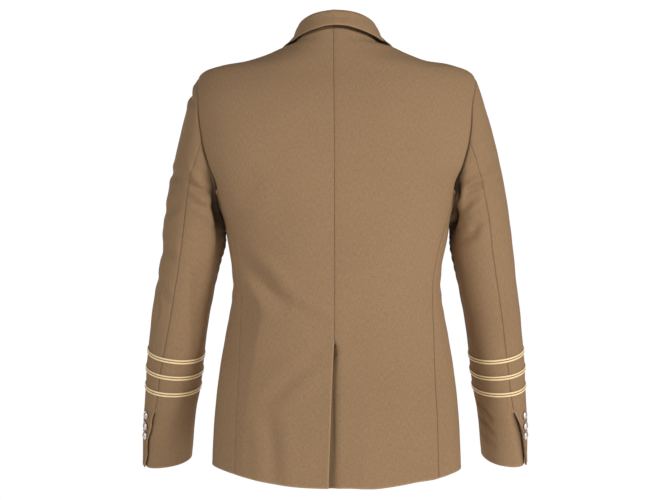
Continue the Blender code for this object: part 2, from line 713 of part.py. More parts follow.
def braid(side, number, height):
    """Ring of doubled braid that lies on the sleeve."""
    along = sleeve_along(height)
    data = bmesh.new()
    loops = []
    for mark in range(MARKS):
        place = sleeve_point(side, mark, along)
        normal = sleeve_normal(side, mark, along)
        down = unit(sleeve_point(side, mark, along + 0.005) - sleeve_point(side, mark, along - 0.005))
        points = [place + down * run + normal * out for run, out in BRAID_PROFILE]
        loops.append([data.verts.new(p * np.array((SIDES[side], 1.0, 1.0))) for p in points])
    count = len(BRAID_PROFILE)
    for i in range(MARKS):
        here, there = loops[i], loops[(i + 1) % MARKS]
        for k in range(count):
            data.faces.new((here[k], here[(k + 1) % count], there[(k + 1) % count], there[k]))
    return make_object("braid_%s_%d" % (side, number), data, "gold_braid")


def button(name, place, normal, radius):
    """Domed metal button on a short shank, turned about its axis."""
    shank, rim, dome = 0.28 * radius, 0.10 * radius, 0.42 * radius
    stand = SHANK_HEIGHT
    profile = [(0.0, GAP), (shank, GAP), (shank, stand), (radius, stand)]
    for degrees in (0.0, 45.0, 90.0):
        turn = math.radians(degrees)
        profile.append((radius * math.cos(turn), stand + rim + dome * math.sin(turn)))
    data = bmesh.new()
    verts = [data.verts.new((r, 0.0, z)) for r, z in profile]
    edges = [data.edges.new(pair) for pair in zip(verts, verts[1:])]
    bmesh.ops.spin(data, geom=verts + edges, axis=(0, 0, 1), cent=(0, 0, 0),
                   steps=10, angle=2.0 * math.pi)
    bmesh.ops.remove_doubles(data, verts=data.verts, dist=0.00001)
    made = make_object(name, data, "button_metal", 50.0)
    made.rotation_mode = "QUATERNION"
    made.rotation_quaternion = Vector(normal).to_track_quat("Z", "Y")
    made.location = place
    return made


def cuff_buttons(side):
    mirror = np.array((SIDES[side], 1.0, 1.0))
    for number, height in enumerate(CUFF_BUTTON_HEIGHTS, start=1):
        along = sleeve_along(height)
        hind = through(SLEEVE_FROM_HEM, 7, height)
        mark = HIND_MARK * CUFF_BUTTON_ANGLE / hind
        place = sleeve_point(side, mark, along)
        normal = sleeve_normal(side, mark, along)
        button("cuff_button_%s_%d" % (side, number), place * mirror, normal * mirror,
               CUFF_BUTTON_RADIUS)


def front_buttons():
    for number, height in enumerate(FRONT_BUTTON_HEIGHTS, start=1):
        place = on_front(0.0, height, FRONT_LIFT)
        normal = body_normal(turn_at(0.0, height, False), height)
        button("front_button_%d" % number, place, normal, FRONT_BUTTON_RADIUS)


clear_scene()
for side in SIDES:
    back_panel(side)
    side_panel(side)
    front_panel(side)
    lapel(side)
    sleeve(side)
    for number, height in enumerate(BRAID_HEIGHTS, start=1):
        braid(side, number, height)
    cuff_buttons(side)
collar()
front_buttons()
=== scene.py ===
import math
import bpy
import numpy as np
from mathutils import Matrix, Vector


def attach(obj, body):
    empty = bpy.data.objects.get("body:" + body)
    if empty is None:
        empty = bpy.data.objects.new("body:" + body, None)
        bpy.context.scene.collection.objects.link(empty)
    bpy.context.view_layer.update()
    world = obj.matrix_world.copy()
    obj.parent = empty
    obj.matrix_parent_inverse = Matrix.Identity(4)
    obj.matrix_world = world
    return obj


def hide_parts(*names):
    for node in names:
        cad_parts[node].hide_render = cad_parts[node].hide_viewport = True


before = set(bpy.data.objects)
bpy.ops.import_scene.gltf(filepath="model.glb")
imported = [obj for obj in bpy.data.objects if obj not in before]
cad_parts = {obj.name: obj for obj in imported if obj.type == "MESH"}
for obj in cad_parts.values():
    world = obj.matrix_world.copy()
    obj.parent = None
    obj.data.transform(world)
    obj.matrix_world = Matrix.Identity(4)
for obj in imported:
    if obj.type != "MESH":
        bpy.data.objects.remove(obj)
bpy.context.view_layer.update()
bpy.ops.object.select_all(action="DESELECT")


# --- The back -------------------------------------------------------------------------------------
# Two halves of wool gabardine, joined down the centre by a plain seam that is pressed open. Below
# the waist the seam stops in a single vent: the left half is turned under and laps over a strip of
# the right one. Both halves are shaped by pressing, so they stand hollow at the waist.

CLOTH = 0.0020                  # cloth with its interlining
CENTRE_LEAN = (0.0038, 0.0052)  # how far the centre seam hangs to one side, low and at the neck
SIDES = {"left": 1.0, "right": -1.0}

BODY = (
    # height, half_width, back, front, corner, ridge
    (-0.7150, 0.2038, 0.1240, 0.1350, 2.5, 0.00),
    (-0.6550, 0.2025, 0.1215, 0.1340, 2.5, 0.00),
    (-0.5960, 0.1990, 0.1160, 0.1320, 2.5, 0.00),
    (-0.5370, 0.1918, 0.1090, 0.1290, 2.5, 0.00),
    (-0.4785, 0.1820, 0.1025, 0.1250, 2.5, 0.00),
    (-0.4200, 0.1720, 0.0975, 0.1210, 2.5, 0.00),
    (-0.3805, 0.1705, 0.0960, 0.1190, 2.5, 0.00),
    (-0.3220, 0.1780, 0.1000, 0.1210, 2.5, 0.00),
    (-0.2930, 0.1815, 0.1050, 0.1240, 2.5, 0.00),
    (-0.2660, 0.1880, 0.1095, 0.1260, 2.6, 0.00),
    (-0.2340, 0.1980, 0.1140, 0.1270, 2.6, 0.00),
    (-0.2040, 0.2168, 0.1170, 0.1260, 2.6, 0.00),
    (-0.1660, 0.2320, 0.1155, 0.1210, 2.6, 0.05),
    (-0.1280, 0.2370, 0.1110, 0.1120, 2.6, 0.10),
    (-0.0920, 0.2350, 0.1030, 0.1020, 2.5, 0.15),
    (-0.0700, 0.2307, 0.0960, 0.0930, 2.4, 0.20),
    (-0.0560, 0.2262, 0.0900, 0.0860, 2.3, 0.25),
    (-0.0460, 0.2164, 0.0865, 0.0810, 2.2, 0.30),
    (-0.0364, 0.1900, 0.0835, 0.0760, 2.2, 0.38),
    (-0.0265, 0.1475, 0.0805, 0.0710, 2.2, 0.42),
    (-0.0167, 0.1164, 0.0775, 0.0660, 2.2, 0.38),
    (-0.0069, 0.0934, 0.0745, 0.0610, 2.2, 0.28),
    (0.0000, 0.0715, 0.0722, 0.0570, 2.2, 0.15),
    (0.0165, 0.0650, 0.0678, 0.0500, 2.2, 0.05),
    (0.0260, 0.0620, 0.0655, 0.0470, 2.2, 0.00),
)
ARMHOLE = (
    # turn in degrees, height: eight places from the shoulder tip over the back
    (0.0, -0.0560),
    (25.5, -0.0920),
    (31.3, -0.1660),
    (25.0, -0.2420),
    (-3.6, -0.2800),
    (-25.8, -0.2520),
    (-30.0, -0.1950),
    (-23.0, -0.1060),
)
MARKS = 24                  # marks round the armhole, shared with the sleeve
SIDE_BACK_MARK = 9
NECK_SIDE = 0.0
NECK_BACK = 0.0220
SHOULDER_TIP = -0.0560
HEM_SIDE = -0.6855
HEM_BACK_DROP = 0.0222
HEM_FRONT_DROP = 0.0120
GORGE = (0.0590, -0.0480)
SIDE_BACK_SEAM = (
    # height, x
    (-0.7100, 0.1625), (-0.5980, 0.1590), (-0.5380, 0.1565), (-0.4780, 0.1545),
    (-0.4116, 0.1535), (-0.3380, 0.1630), (-0.2880, 0.1760), (-0.2420, 0.1870),
)
VENT_TOP = -0.4804
VENT_OPENING = 0.0090
VENT_UNDERLAP = 0.0350
VENT_DROP = 0.0054              # how far the underlap lies inside the left half
VENT_DROP_TOP = 0.0018          # further in at the top of the vent
VENT_BRINK = (0.0034, 0.0034, 0.0020)   # x where it drops in, more below the top, less at the hem
VENT_SHADE = (0.0060, 0.0030)   # painted shade on the underlap, and more at its top
SKIRT_SAG = (0.0038, 0.0036)    # how far the right of the skirt hangs lower, and its side again

# Soft troughs in the back, each from one place to the next as (x, height), then depth and width.
# The longest runs from the left of the waist to the top of the vent.
BACK_FOLDS = (
    (((0.1560, -0.3500), (0.1240, -0.3800), (0.1000, -0.4080), (0.0720, -0.4330)), 0.0076, 0.0130),
    (((0.0850, -0.4160), (0.0450, -0.4400), (0.0060, -0.4560)), 0.0030, 0.0100),
    (((-0.1500, -0.3850), (-0.1200, -0.4000), (-0.0800, -0.4140)), 0.0016, 0.0110),
    (((0.0160, -0.4980), (0.0746, -0.5446), (0.1169, -0.5868)), 0.0026, 0.0110),
    (((0.1070, -0.5900), (0.1000, -0.6500), (0.0960, -0.7100)), 0.0034, 0.0120),
    (((-0.0300, -0.1100), (-0.0420, -0.1500), (-0.0340, -0.2000)), 0.0010, 0.0260),
    (((0.1600, -0.2700), (0.1350, -0.2450), (0.1250, -0.2100)), 0.0014, 0.0160),
    (((-0.1600, -0.2700), (-0.1380, -0.2450), (-0.1280, -0.2100)), 0.0012, 0.0160),
)

# Where the skirt turns away from the middle: along this line of (height, x), by so much.
LEFT_TURN = (
    (-0.7100, 0.1480, 0.0022), (-0.6600, 0.1480, 0.0028), (-0.6000, 0.1430, 0.0042),
    (-0.5200, 0.1330, 0.0060), (-0.4700, 0.1245, 0.0100), (-0.4400, 0.1205, 0.0115),
    (-0.4245, 0.1210, 0.0110), (-0.4025, 0.1350, 0.0085), (-0.3800, 0.1520, 0.0040),
    (-0.3600, 0.1650, 0.0000),
)
RIGHT_TURN = (
    (-0.7150, -0.0380, 0.0080), (-0.6350, -0.0500, 0.0060), (-0.5730, -0.0480, 0.0040),
    (-0.5340, -0.0210, 0.0030), (-0.4870, -0.0010, 0.0000),
)

# The collar's stand and the edge of its fall, which also says where its painted shadow lies on the
# back.
COLLAR = (
    # neck mark, stand, edge x, y, z
    (0.00, 0.0176, 0.0000, 0.0743, 0.0178),
    (0.12, 0.0176, 0.0130, 0.0735, 0.0170),
    (0.33, 0.0176, 0.0351, 0.0664, 0.0122),
    (0.60, 0.0160, 0.0594, 0.0444, 0.0053),
    (0.72, 0.0144, 0.0660, 0.0374, 0.0022),
    (0.85, 0.0125, 0.0730, 0.0318, -0.0010),
    (1.00, 0.0105, 0.0820, 0.0060, -0.0035),
    (1.25, 0.0080, 0.0980, -0.0360, -0.0160),
    (1.60, 0.0050, 0.1120, -0.0600, -0.0420),
    (2.00, 0.0036, 0.1060, -0.0780, -0.0720),
)

# How far the cloth beside each armhole is drawn outwards, at each height.
HOLE_SHIFT = {
    "left": ((-0.3300, 0.0), (-0.2980, 0.0016), (-0.2650, 0.0044), (-0.2300, 0.0064),
             (-0.2000, 0.0044), (-0.1500, 0.0026), (-0.1100, 0.0028), (-0.0600, 0.0)),
    "right": ((-0.3600, 0.0), (-0.3000, 0.0030), (-0.2500, 0.0028), (-0.2100, 0.0022),
              (-0.1800, 0.0004), (-0.1500, -0.0004), (-0.1100, -0.0018), (-0.0600, 0.0)),
}

# Where the cloth hangs hollow, as place, width and depth: the shoulders at x, and the outer side of
# the left sleeve at a height.
SHOULDER_HOLLOWS = ((0.135, 0.045, 0.0034), (-0.142, 0.024, 0.0030))
SLEEVE_HOLLOWS = ((-0.350, 0.050, 0.0028), (-0.342, 0.010, 0.0030))
BLADE_HOLLOW = 0.0070           # the same of the left shoulder blade
COLLAR_END = (0.084, 0.020, 0.0034)     # x and width where the left collar end draws in, how far
SEAM_DIPS = ((0.0004, 0.0014), (0.0004, 0.0060))    # depth and width of the groove of a seam
EDGE_SWELL = (0.0003, 0.0018, 0.0014)   # height, place and width of the swell along an edge
EDGE_ROUND = 0.00055            # radius of a pressed edge
COLLAR_SHADE = (0.0135, 0.0016, 0.084)  # how dark the painted shadow under the collar is, its width, its end


def curve(table, column, at):
    """Smooth curve through one column of a table, with no bumps between its rows."""
    keys = np.array([row[0] for row in table])
    values = np.array([row[column] for row in table])
    slopes = np.diff(values) / np.diff(keys)
    lean = np.zeros(len(keys))
    lean[0], lean[-1] = slopes[0], slopes[-1]
    product = slopes[:-1] * slopes[1:]
    total = slopes[:-1] + slopes[1:]
    lean[1:-1] = np.where(product > 0.0, 2.0 * product / np.where(total == 0.0, 1.0, total), 0.0)
    at = np.clip(at, keys[0], keys[-1])
    i = np.clip(np.searchsorted(keys, at, side="right") - 1, 0, len(keys) - 2)
    width = keys[i + 1] - keys[i]
    s = (at - keys[i]) / width
    return (values[i] * (1 + 2 * s) * (1 - s) ** 2 + values[i + 1] * s * s * (3 - 2 * s)
            + width * (lean[i] * s * (1 - s) ** 2 - lean[i + 1] * s * s * (1 - s)))


def unit(vectors):
    return vectors / np.linalg.norm(vectors, axis=-1, keepdims=True)


def ease(value):
    value = np.clip(value, 0.0, 1.0)
    return value * value * (3.0 - 2.0 * value)


def body_point(turn, height):
    """Place on the body: its turn round the ring, 90 degrees at the centre back, and its height."""
    half_width, back, front, corner, ridge = (curve(BODY, column, height) for column in range(1, 6))
    across, aft = np.cos(turn), np.sin(turn)
    reach = (np.abs(across) ** corner + np.abs(aft) ** corner) ** (-1.0 / corner)
    share = reach * across
    depth = np.where(aft >= 0.0, back, front) * reach * aft * (1.0 - ridge * share ** 2)
    return np.stack(np.broadcast_arrays(half_width * share, depth, height), axis=-1)


def body_normal(turn, height):
    step = 0.002
    round_it = body_point(turn + step, height) - body_point(turn - step, height)
    up_it = body_point(turn, height + step) - body_point(turn, height - step)
    return unit(np.cross(round_it, up_it))


def body_skin(places):
    """Points on the body and the ways out of it, for a grid of turns and heights."""
    turn, height = places[..., 0], places[..., 1]
    return body_point(turn, height), body_normal(turn, height)


def turn_at(x, height, back=True):
    half_width, corner = curve(BODY, 1, height), curve(BODY, 4, height)
    share = np.clip(x / half_width, -1.0, 1.0)
    aft = (1.0 - np.abs(share) ** corner) ** (1.0 / corner)
    return np.arctan2(aft if back else -aft, share)


def hem_height(turn):
    corner = curve(BODY, 4, HEM_SIDE)
    across, aft = np.cos(turn), np.sin(turn)
    aft = aft * (np.abs(across) ** corner + np.abs(aft) ** corner) ** (-1.0 / corner)
    drop = np.where(aft >= 0.0, HEM_BACK_DROP * aft ** 4, HEM_FRONT_DROP * aft ** 2)
    return HEM_SIDE - drop


def armhole_place(mark):
    """Turn and height on the armhole, as one row each."""
    eighth = (np.asarray(mark, float) * 8.0 / MARKS) % 8.0
    i = eighth.astype(int)
    s = (eighth - i)[..., None]
    table = np.array(ARMHOLE)
    a, b, c, d = (table[(i + k) % 8] for k in (-1, 0, 1, 2))
    place = b + 0.5 * s * (c - a + s * (2 * a - 5 * b + 4 * c - d + s * (3 * (b - c) + d - a)))
    return np.radians(place[..., 0]), place[..., 1]


def neck_place(mark):
    """Turn and height on the neck seam: centre back at 0, shoulder seam at 1, gorge at 2."""
    mark = np.asarray(mark, float)
    back_turn = 0.5 * np.pi * (1.0 - np.minimum(mark, 1.0))
    back_height = NECK_SIDE + (NECK_BACK - NECK_SIDE) * np.abs(np.sin(back_turn)) ** 1.3
    share = np.maximum(mark - 1.0, 0.0)
    front_height = NECK_SIDE + (GORGE[1] - NECK_SIDE) * share ** 1.8
    x = curve(BODY, 1, NECK_SIDE) * (1.0 - share) + GORGE[0] * share
    front_turn = turn_at(x, front_height, False)
    return (np.where(mark <= 1.0, back_turn, front_turn),
            np.where(mark <= 1.0, back_height, front_height))


def line(*parts):
    """One border line out of parts, each a pair of turns and heights."""
    return np.concatenate([np.stack(np.broadcast_arrays(*part), axis=-1) for part in parts])


def shoulder_line(steps):
    """Shoulder seam, from the neck to the tip."""
    heights = np.linspace(NECK_SIDE, SHOULDER_TIP, 400)
    widths = curve(BODY, 1, heights)
    x = widths[0] + (widths[-1] - widths[0]) * steps
    return np.zeros(len(steps)), np.interp(x, widths, heights)


def patch(bottom, top, start, end):
    """Grid of places between four border lines."""
    rows, columns = len(start), len(bottom)
    v = (np.arange(rows) / (rows - 1))[:, None, None]
    u = (np.arange(columns) / (columns - 1))[None, :, None]
    corners = ((1 - u) * (1 - v) * bottom[0] + u * (1 - v) * bottom[-1]
               + (1 - u) * v * top[0] + u * v * top[-1])
    return ((1 - v) * bottom[None] + v * top[None] + (1 - u) * start[:, None] + u * end[:, None]
            - corners)


def seen_flat(places):
    return np.stack([body_point(places[:, 0], places[:, 1])[:, 0], places[:, 1]], axis=-1)


def facing_patch(bottom, top, start, end, back):
    """The same, spread evenly as seen from behind or in front."""
    grid = patch(seen_flat(bottom), seen_flat(top), seen_flat(start), seen_flat(end))
    grid[..., 0] = turn_at(grid[..., 0], grid[..., 1], back)
    grid[0], grid[-1], grid[:, 0], grid[:, -1] = bottom, top, start, end
    return grid


def side_line(seam, mark, steps, back):
    """Side seam, from the hem to the armhole."""
    hem = hem_height(turn_at(seam[0][1], seam[0][0], back))
    turn, top = armhole_place(mark)
    heights = hem + (top - hem) * steps
    turns = turn_at(curve(seam, 1, heights), heights, back)
    turns[-1] = turn
    return turns, heights


def rising(low, top, marks):
    """Heights that climb from low to top in step with the marks up the armhole."""
    heights = armhole_place(marks)[1]
    return low + (top - low) * (heights - heights[0]) / (heights[-1] - heights[0])


def body_trace(places, back):
    """Points on the body under a line of (x, height) places."""
    x, height = np.array(places).T
    return body_point(turn_at(x, height, back), height)


def pressed(points, folds):
    """How far each point lies in or out for soft troughs that run along the given lines."""
    total = np.zeros(points.shape[:-1])
    for path, depth, width in folds:
        path = np.asarray(path)
        at = np.linspace(0, len(path) - 1, 28)
        path = np.stack([np.interp(at, range(len(path)), path[:, k]) for k in range(3)], axis=-1)
        far = np.linalg.norm(points[..., None, :] - path, axis=-1)
        nearest = far.argmin(axis=-1)
        far = far.min(axis=-1)
        fade = np.sin(np.pi * (nearest + 0.5) / len(path)) ** 0.7
        ridge = 0.42 if depth < 0.0100 else 0.10
        trough = np.exp(-(far / width) ** 2) - ridge * np.exp(-((far - 2.1 * width) / width) ** 2)
        total -= depth * fade * trough
    return total


def hollows(at, places):
    """How deep the hollows of a list are at each place."""
    return sum(depth * np.exp(-((at - place) / width) ** 2) for place, width, depth in places)


def unevenness(points):
    """Slow swells of the cloth, a millimetre high at most."""
    x, y, z = np.moveaxis(points, -1, 0)
    return (0.00045 * np.sin(31.0 * x + 9.0 * z + 0.4) * np.sin(23.0 * z - 12.0 * y)
            + 0.00030 * np.sin(57.0 * z + 33.0 * y + 1.7) * np.cos(41.0 * x)
            + 0.00018 * np.sin(96.0 * x - 71.0 * z) * np.sin(83.0 * y + 44.0 * z + 0.9))


def hung(points, leaning):
    """The uneven way it hangs: the centre seam to one side, hollow shoulders, a turned skirt."""
    x, y, z = np.moveaxis(points, -1, 0)
    behind = ease(y / 0.05) * np.clip(1.0 - (x / 0.12) ** 2, 0.0, 1.0) ** 2
    lean = (CENTRE_LEAN[0] + (CENTRE_LEAN[1] - CENTRE_LEAN[0]) * ease((z + 0.20) / 0.20)) * behind
    sink = ease((z + 0.11) / 0.04) * hollows(x, SHOULDER_HOLLOWS)
    sag = ease((-0.58 - z) / 0.10) * ease((y + 0.10) / 0.12)
    sag = sag * (SKIRT_SAG[0] * ease((-x - 0.02) / 0.05) + SKIRT_SAG[1] * ease((-x - 0.12) / 0.04))
    away = 0.0
    for table, way, width in ((LEFT_TURN, 1.0, 0.040), (RIGHT_TURN, -1.0, 0.075)):
        beyond = np.clip((x - curve(table, 1, z)) * way / width, 0.0, 1.0)
        away = away + curve(table, 2, z) * (1.0 - (1.0 - beyond) ** 2)
    away = away * ease((y + 0.03) / 0.07) * (np.abs(x) < 0.235)
    flat = ease((x - 0.08) / 0.11) * (1.0 - ease((x - 0.21) / 0.06)) * ease(y / 0.03)
    away = away - BLADE_HOLLOW * flat * ease((-0.04 - z) / 0.06) * (1.0 - ease((-0.26 - z) / 0.08))
    beside = ease((np.abs(x) - 0.13) / 0.05) * (1.0 - ease((np.abs(x) - 0.215) / 0.05))
    out = np.where(x > 0.0, curve(HOLE_SHIFT["left"], 1, z), -curve(HOLE_SHIFT["right"], 1, z))
    out = out * beside - hollows(z, SLEEVE_HOLLOWS) * ease((x - 0.25) / 0.03)
    out = out - hollows(x, [COLLAR_END]) * ease((z + 0.025) / 0.012)
    return points + np.stack([lean * leaning + out, -away, -sink - sag], axis=-1)


def border_distance(points, seams, sewn_start, tucked):
    """Distance of each grid point from the nearest sewn border and the nearest turned edge."""
    across = np.linalg.norm(np.diff(points, axis=1), axis=-1)
    along = np.linalg.norm(np.diff(points, axis=0), axis=-1)
    rows, columns = points.shape[:2]
    from_start = np.concatenate([np.zeros((rows, 1)), np.cumsum(across, axis=1)], axis=1)
    from_bottom = np.concatenate([np.zeros((1, columns)), np.cumsum(along, axis=0)])
    found = {"start": from_start, "end": from_start[:, -1:] - from_start,
             "bottom": np.maximum(from_bottom - from_bottom[tucked], 0.0),
             "top": from_bottom[-1:] - from_bottom}
    sewn, turned = np.full((rows, columns), 1.0), np.full((rows, columns), 1.0)
    for border, far in found.items():
        closed = np.full((rows, 1), border in seams)
        if border in sewn_start:
            closed = sewn_start[border][:, None]
        sewn = np.minimum(sewn, np.where(closed, far, 1.0))
        turned = np.minimum(turned, np.where(closed, 1.0, far))
    return sewn, turned, from_start, from_bottom


def cloth_piece(name, outer, outward, seams, side="left", sewn=(), tucked=0, crossed=None,
                faint=0.0, painted_shade=0.0):
    """Sheet of cloth over a grid of outer points: pressed seams, a wall inwards, rounded edges."""
    rows, columns = outer.shape[:2]
    seam_far, edge_far, u, v = border_distance(outer, seams, sewn, tucked)
    if crossed is not None:
        seam_far = np.minimum(seam_far, crossed)
    seam_far = seam_far + faint
    dip = sum(depth * np.exp(-(seam_far / width) ** 2) for depth, width in SEAM_DIPS)
    swell, inset, width = EDGE_SWELL
    dip = dip - swell * np.exp(-((edge_far - inset) / width) ** 2)
    outer = hung((outer - outward * dip[..., None]) * (SIDES[side], 1.0, 1.0), name != "collar")
    outward = outward * (SIDES[side], 1.0, 1.0)
    bpy.ops.object.select_all(action="DESELECT")
    bpy.ops.mesh.primitive_grid_add(x_subdivisions=columns - 1, y_subdivisions=rows - 1, size=1.0)
    piece = bpy.context.object
    piece.name = piece.data.name = name + "_cloth"
    mesh = piece.data
    mesh.vertices.foreach_set("co", outer.reshape(-1))
    mesh.update()
    corner_vertex = np.zeros(len(mesh.loops), int)
    mesh.loops.foreach_get("vertex_index", corner_vertex)
    uv = np.stack([u.reshape(-1), v.reshape(-1)], axis=-1)[corner_vertex]
    mesh.uv_layers.active.data.foreach_set("uv", uv.reshape(-1))
    # The third mark is painted shade: how dark each point is painted where the cloth lies in
    # shadow.
    for mark, far in (("seam", seam_far), ("edge", edge_far), ("painted_shade", seam_far * 0.0 + painted_shade)):
        marked = mesh.attributes.new(mark, "FLOAT", "POINT")
        marked.data.foreach_set("value", far.reshape(-1))
    first = mesh.polygons[len(mesh.polygons) // 2]
    facing = outward.reshape(-1, 3)[first.vertices[0]]
    if np.dot(np.array(first.normal), facing) < 0.0:
        bpy.ops.object.mode_set(mode="EDIT")
        bpy.ops.mesh.select_all(action="SELECT")
        bpy.ops.mesh.flip_normals()
        bpy.ops.object.mode_set(mode="OBJECT")
    wall = piece.modifiers.new("wall", "SOLIDIFY")
    wall.thickness, wall.offset = CLOTH, -1.0
    bpy.ops.object.modifier_apply(modifier="wall")
    edge = piece.modifiers.new("edge", "BEVEL")
    edge.width, edge.segments, edge.limit_method, edge.angle_limit = EDGE_ROUND, 2, "ANGLE", 0.9
    bpy.ops.object.modifier_apply(modifier="edge")
    bpy.ops.object.shade_smooth_by_angle(angle=math.radians(50))
    piece.data.materials.append(gabardine)
    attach(piece, "root")
    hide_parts(name)
    return piece


def plug(tree, made, **values):
    """Sets the inputs of a shader node, named with underscores for spaces, or links them."""
    for key, value in values.items():
        socket = next(s for s in made.inputs if s.name.replace(" ", "_") == key and s.enabled)
        if isinstance(value, bpy.types.NodeSocket):
            tree.links.new(value, socket)
        else:
            socket.default_value = value


def node(tree, kind, **values):
    """Adds a shader node with its settings and inputs."""
    made = tree.nodes.new("ShaderNode" + kind)
    for key in ("data_type", "blend_type", "attribute_name", "operation", "uv_map"):
        if key in values:
            setattr(made, key, values.pop(key))
    plug(tree, made, **values)
    return made


def worked_out(tree, operation, first, second):
    made = node(tree, "Math", operation=operation, Value=first)
    tree.links.new(second, made.inputs[1])
    return made.outputs[0]


def ranged(tree, value, low, high, at_low, at_high):
    """A value from low to high, turned into one from at_low to at_high."""
    return node(tree, "MapRange", Value=value, From_Min=low, From_Max=high,
                To_Min=at_low, To_Max=at_high).outputs[0]


def marked_by(tree, name):
    return node(tree, "Attribute", attribute_name=name).outputs["Fac"]


def shaded(tree, colour, shade):
    return node(tree, "Mix", data_type="RGBA", blend_type="MULTIPLY", Factor=1.0,
                A=colour, B=shade).outputs["Result"]


def bumped(tree, height, strength, distance):
    return node(tree, "Bump", Strength=strength, Distance=distance,
                Height=height).outputs["Normal"]


def ramp(tree, value, *stops):
    made = node(tree, "ValToRGB", Fac=value)
    for element, (position, colour) in zip(made.color_ramp.elements, stops):
        element.color, element.position = (*colour, 1.0), position
    return made.outputs["Color"]


def new_material(name):
    made = bpy.data.materials.new(name)
    made.use_nodes = True
    return made, made.node_tree, made.node_tree.nodes["Principled BSDF"]


# Wool gabardine: steep fine twill lines, thicker threads here and there across the cloth and a soft
# bloom of fibre. It is darker and flattened at a pressed seam, carries a painted highlight along a
# turned edge, and painted shade wherever a piece marks its cloth as lying in shadow.
gabardine, tree, shader = new_material("gabardine")
laid = node(tree, "UVMap", uv_map="UVMap").outputs["UV"]
twill_way = node(tree, "Mapping", Vector=laid, Rotation=(0.0, 0.0, math.radians(27)))
twill = node(tree, "TexWave", Vector=twill_way.outputs[0], Scale=330.0, Distortion=0.6,
             Detail=1.0, Detail_Scale=2.0)
weft, warp = (
    node(tree, "TexNoise", Vector=node(tree, "Mapping", Vector=laid, Scale=scale).outputs[0],
         Scale=1.0, Detail=3.0, Roughness=0.6).outputs["Fac"]
    for scale in ((170.0, 760.0, 1.0), (700.0, 130.0, 1.0)))
place = node(tree, "TexCoord").outputs["Object"]
cloudy = node(tree, "TexNoise", Vector=place, Scale=5.0, Detail=2.0, Roughness=0.5)
threads = worked_out(tree, "ADD", weft, warp)
shade = ranged(tree, threads, 0.7, 1.3, 0.84, 1.16)
for source, low, high, at_low, at_high in ((cloudy.outputs["Fac"], 0.3, 0.7, 0.96, 1.04),
                                           (marked_by(tree, "seam"), 0.0002, 0.0013, 0.52, 1.0),
                                           # painted highlight: the cloth is lighter within a few
                                           # millimetres of a turned edge
                                           (marked_by(tree, "edge"), 0.0015, 0.0034, 1.22, 1.0),
                                           # painted shade: the cloth is darker where its piece
                                           # marks it as lying in shadow
                                           (marked_by(tree, "painted_shade"), 0.0010, 0.0125, 1.0, 0.22)):
    shade = worked_out(tree, "MULTIPLY", shade, ranged(tree, source, low, high, at_low, at_high))
relief = worked_out(tree, "ADD", twill.outputs["Fac"], threads)
plug(tree, shader, Base_Color=shaded(tree, (0.294, 0.183, 0.099, 1.0), shade),
     Normal=bumped(tree, relief, 0.22, 0.0004), Roughness=0.92, Specular_IOR_Level=0.12,
     Sheen_Weight=0.03, Sheen_Roughness=0.45, Sheen_Tint=(0.85, 0.70, 0.52, 1.0))

seam_steps = np.linspace(0.0, 1.0, 118) ** 1.12
hole_steps = 1.0 - (1.0 - np.linspace(0.0, 1.0, 64)[1:]) ** 1.15
near_centre = np.linspace(0.0, 1.0, 25)[:-1] ** 1.3
near_tip = 1.0 - (1.0 - np.linspace(0.0, 1.0, 38)) ** 1.25
back_folds = {side: [(body_trace([(x * SIDES[side], z) for x, z in path], True), depth, width)
                     for path, depth, width in BACK_FOLDS] for side in SIDES}


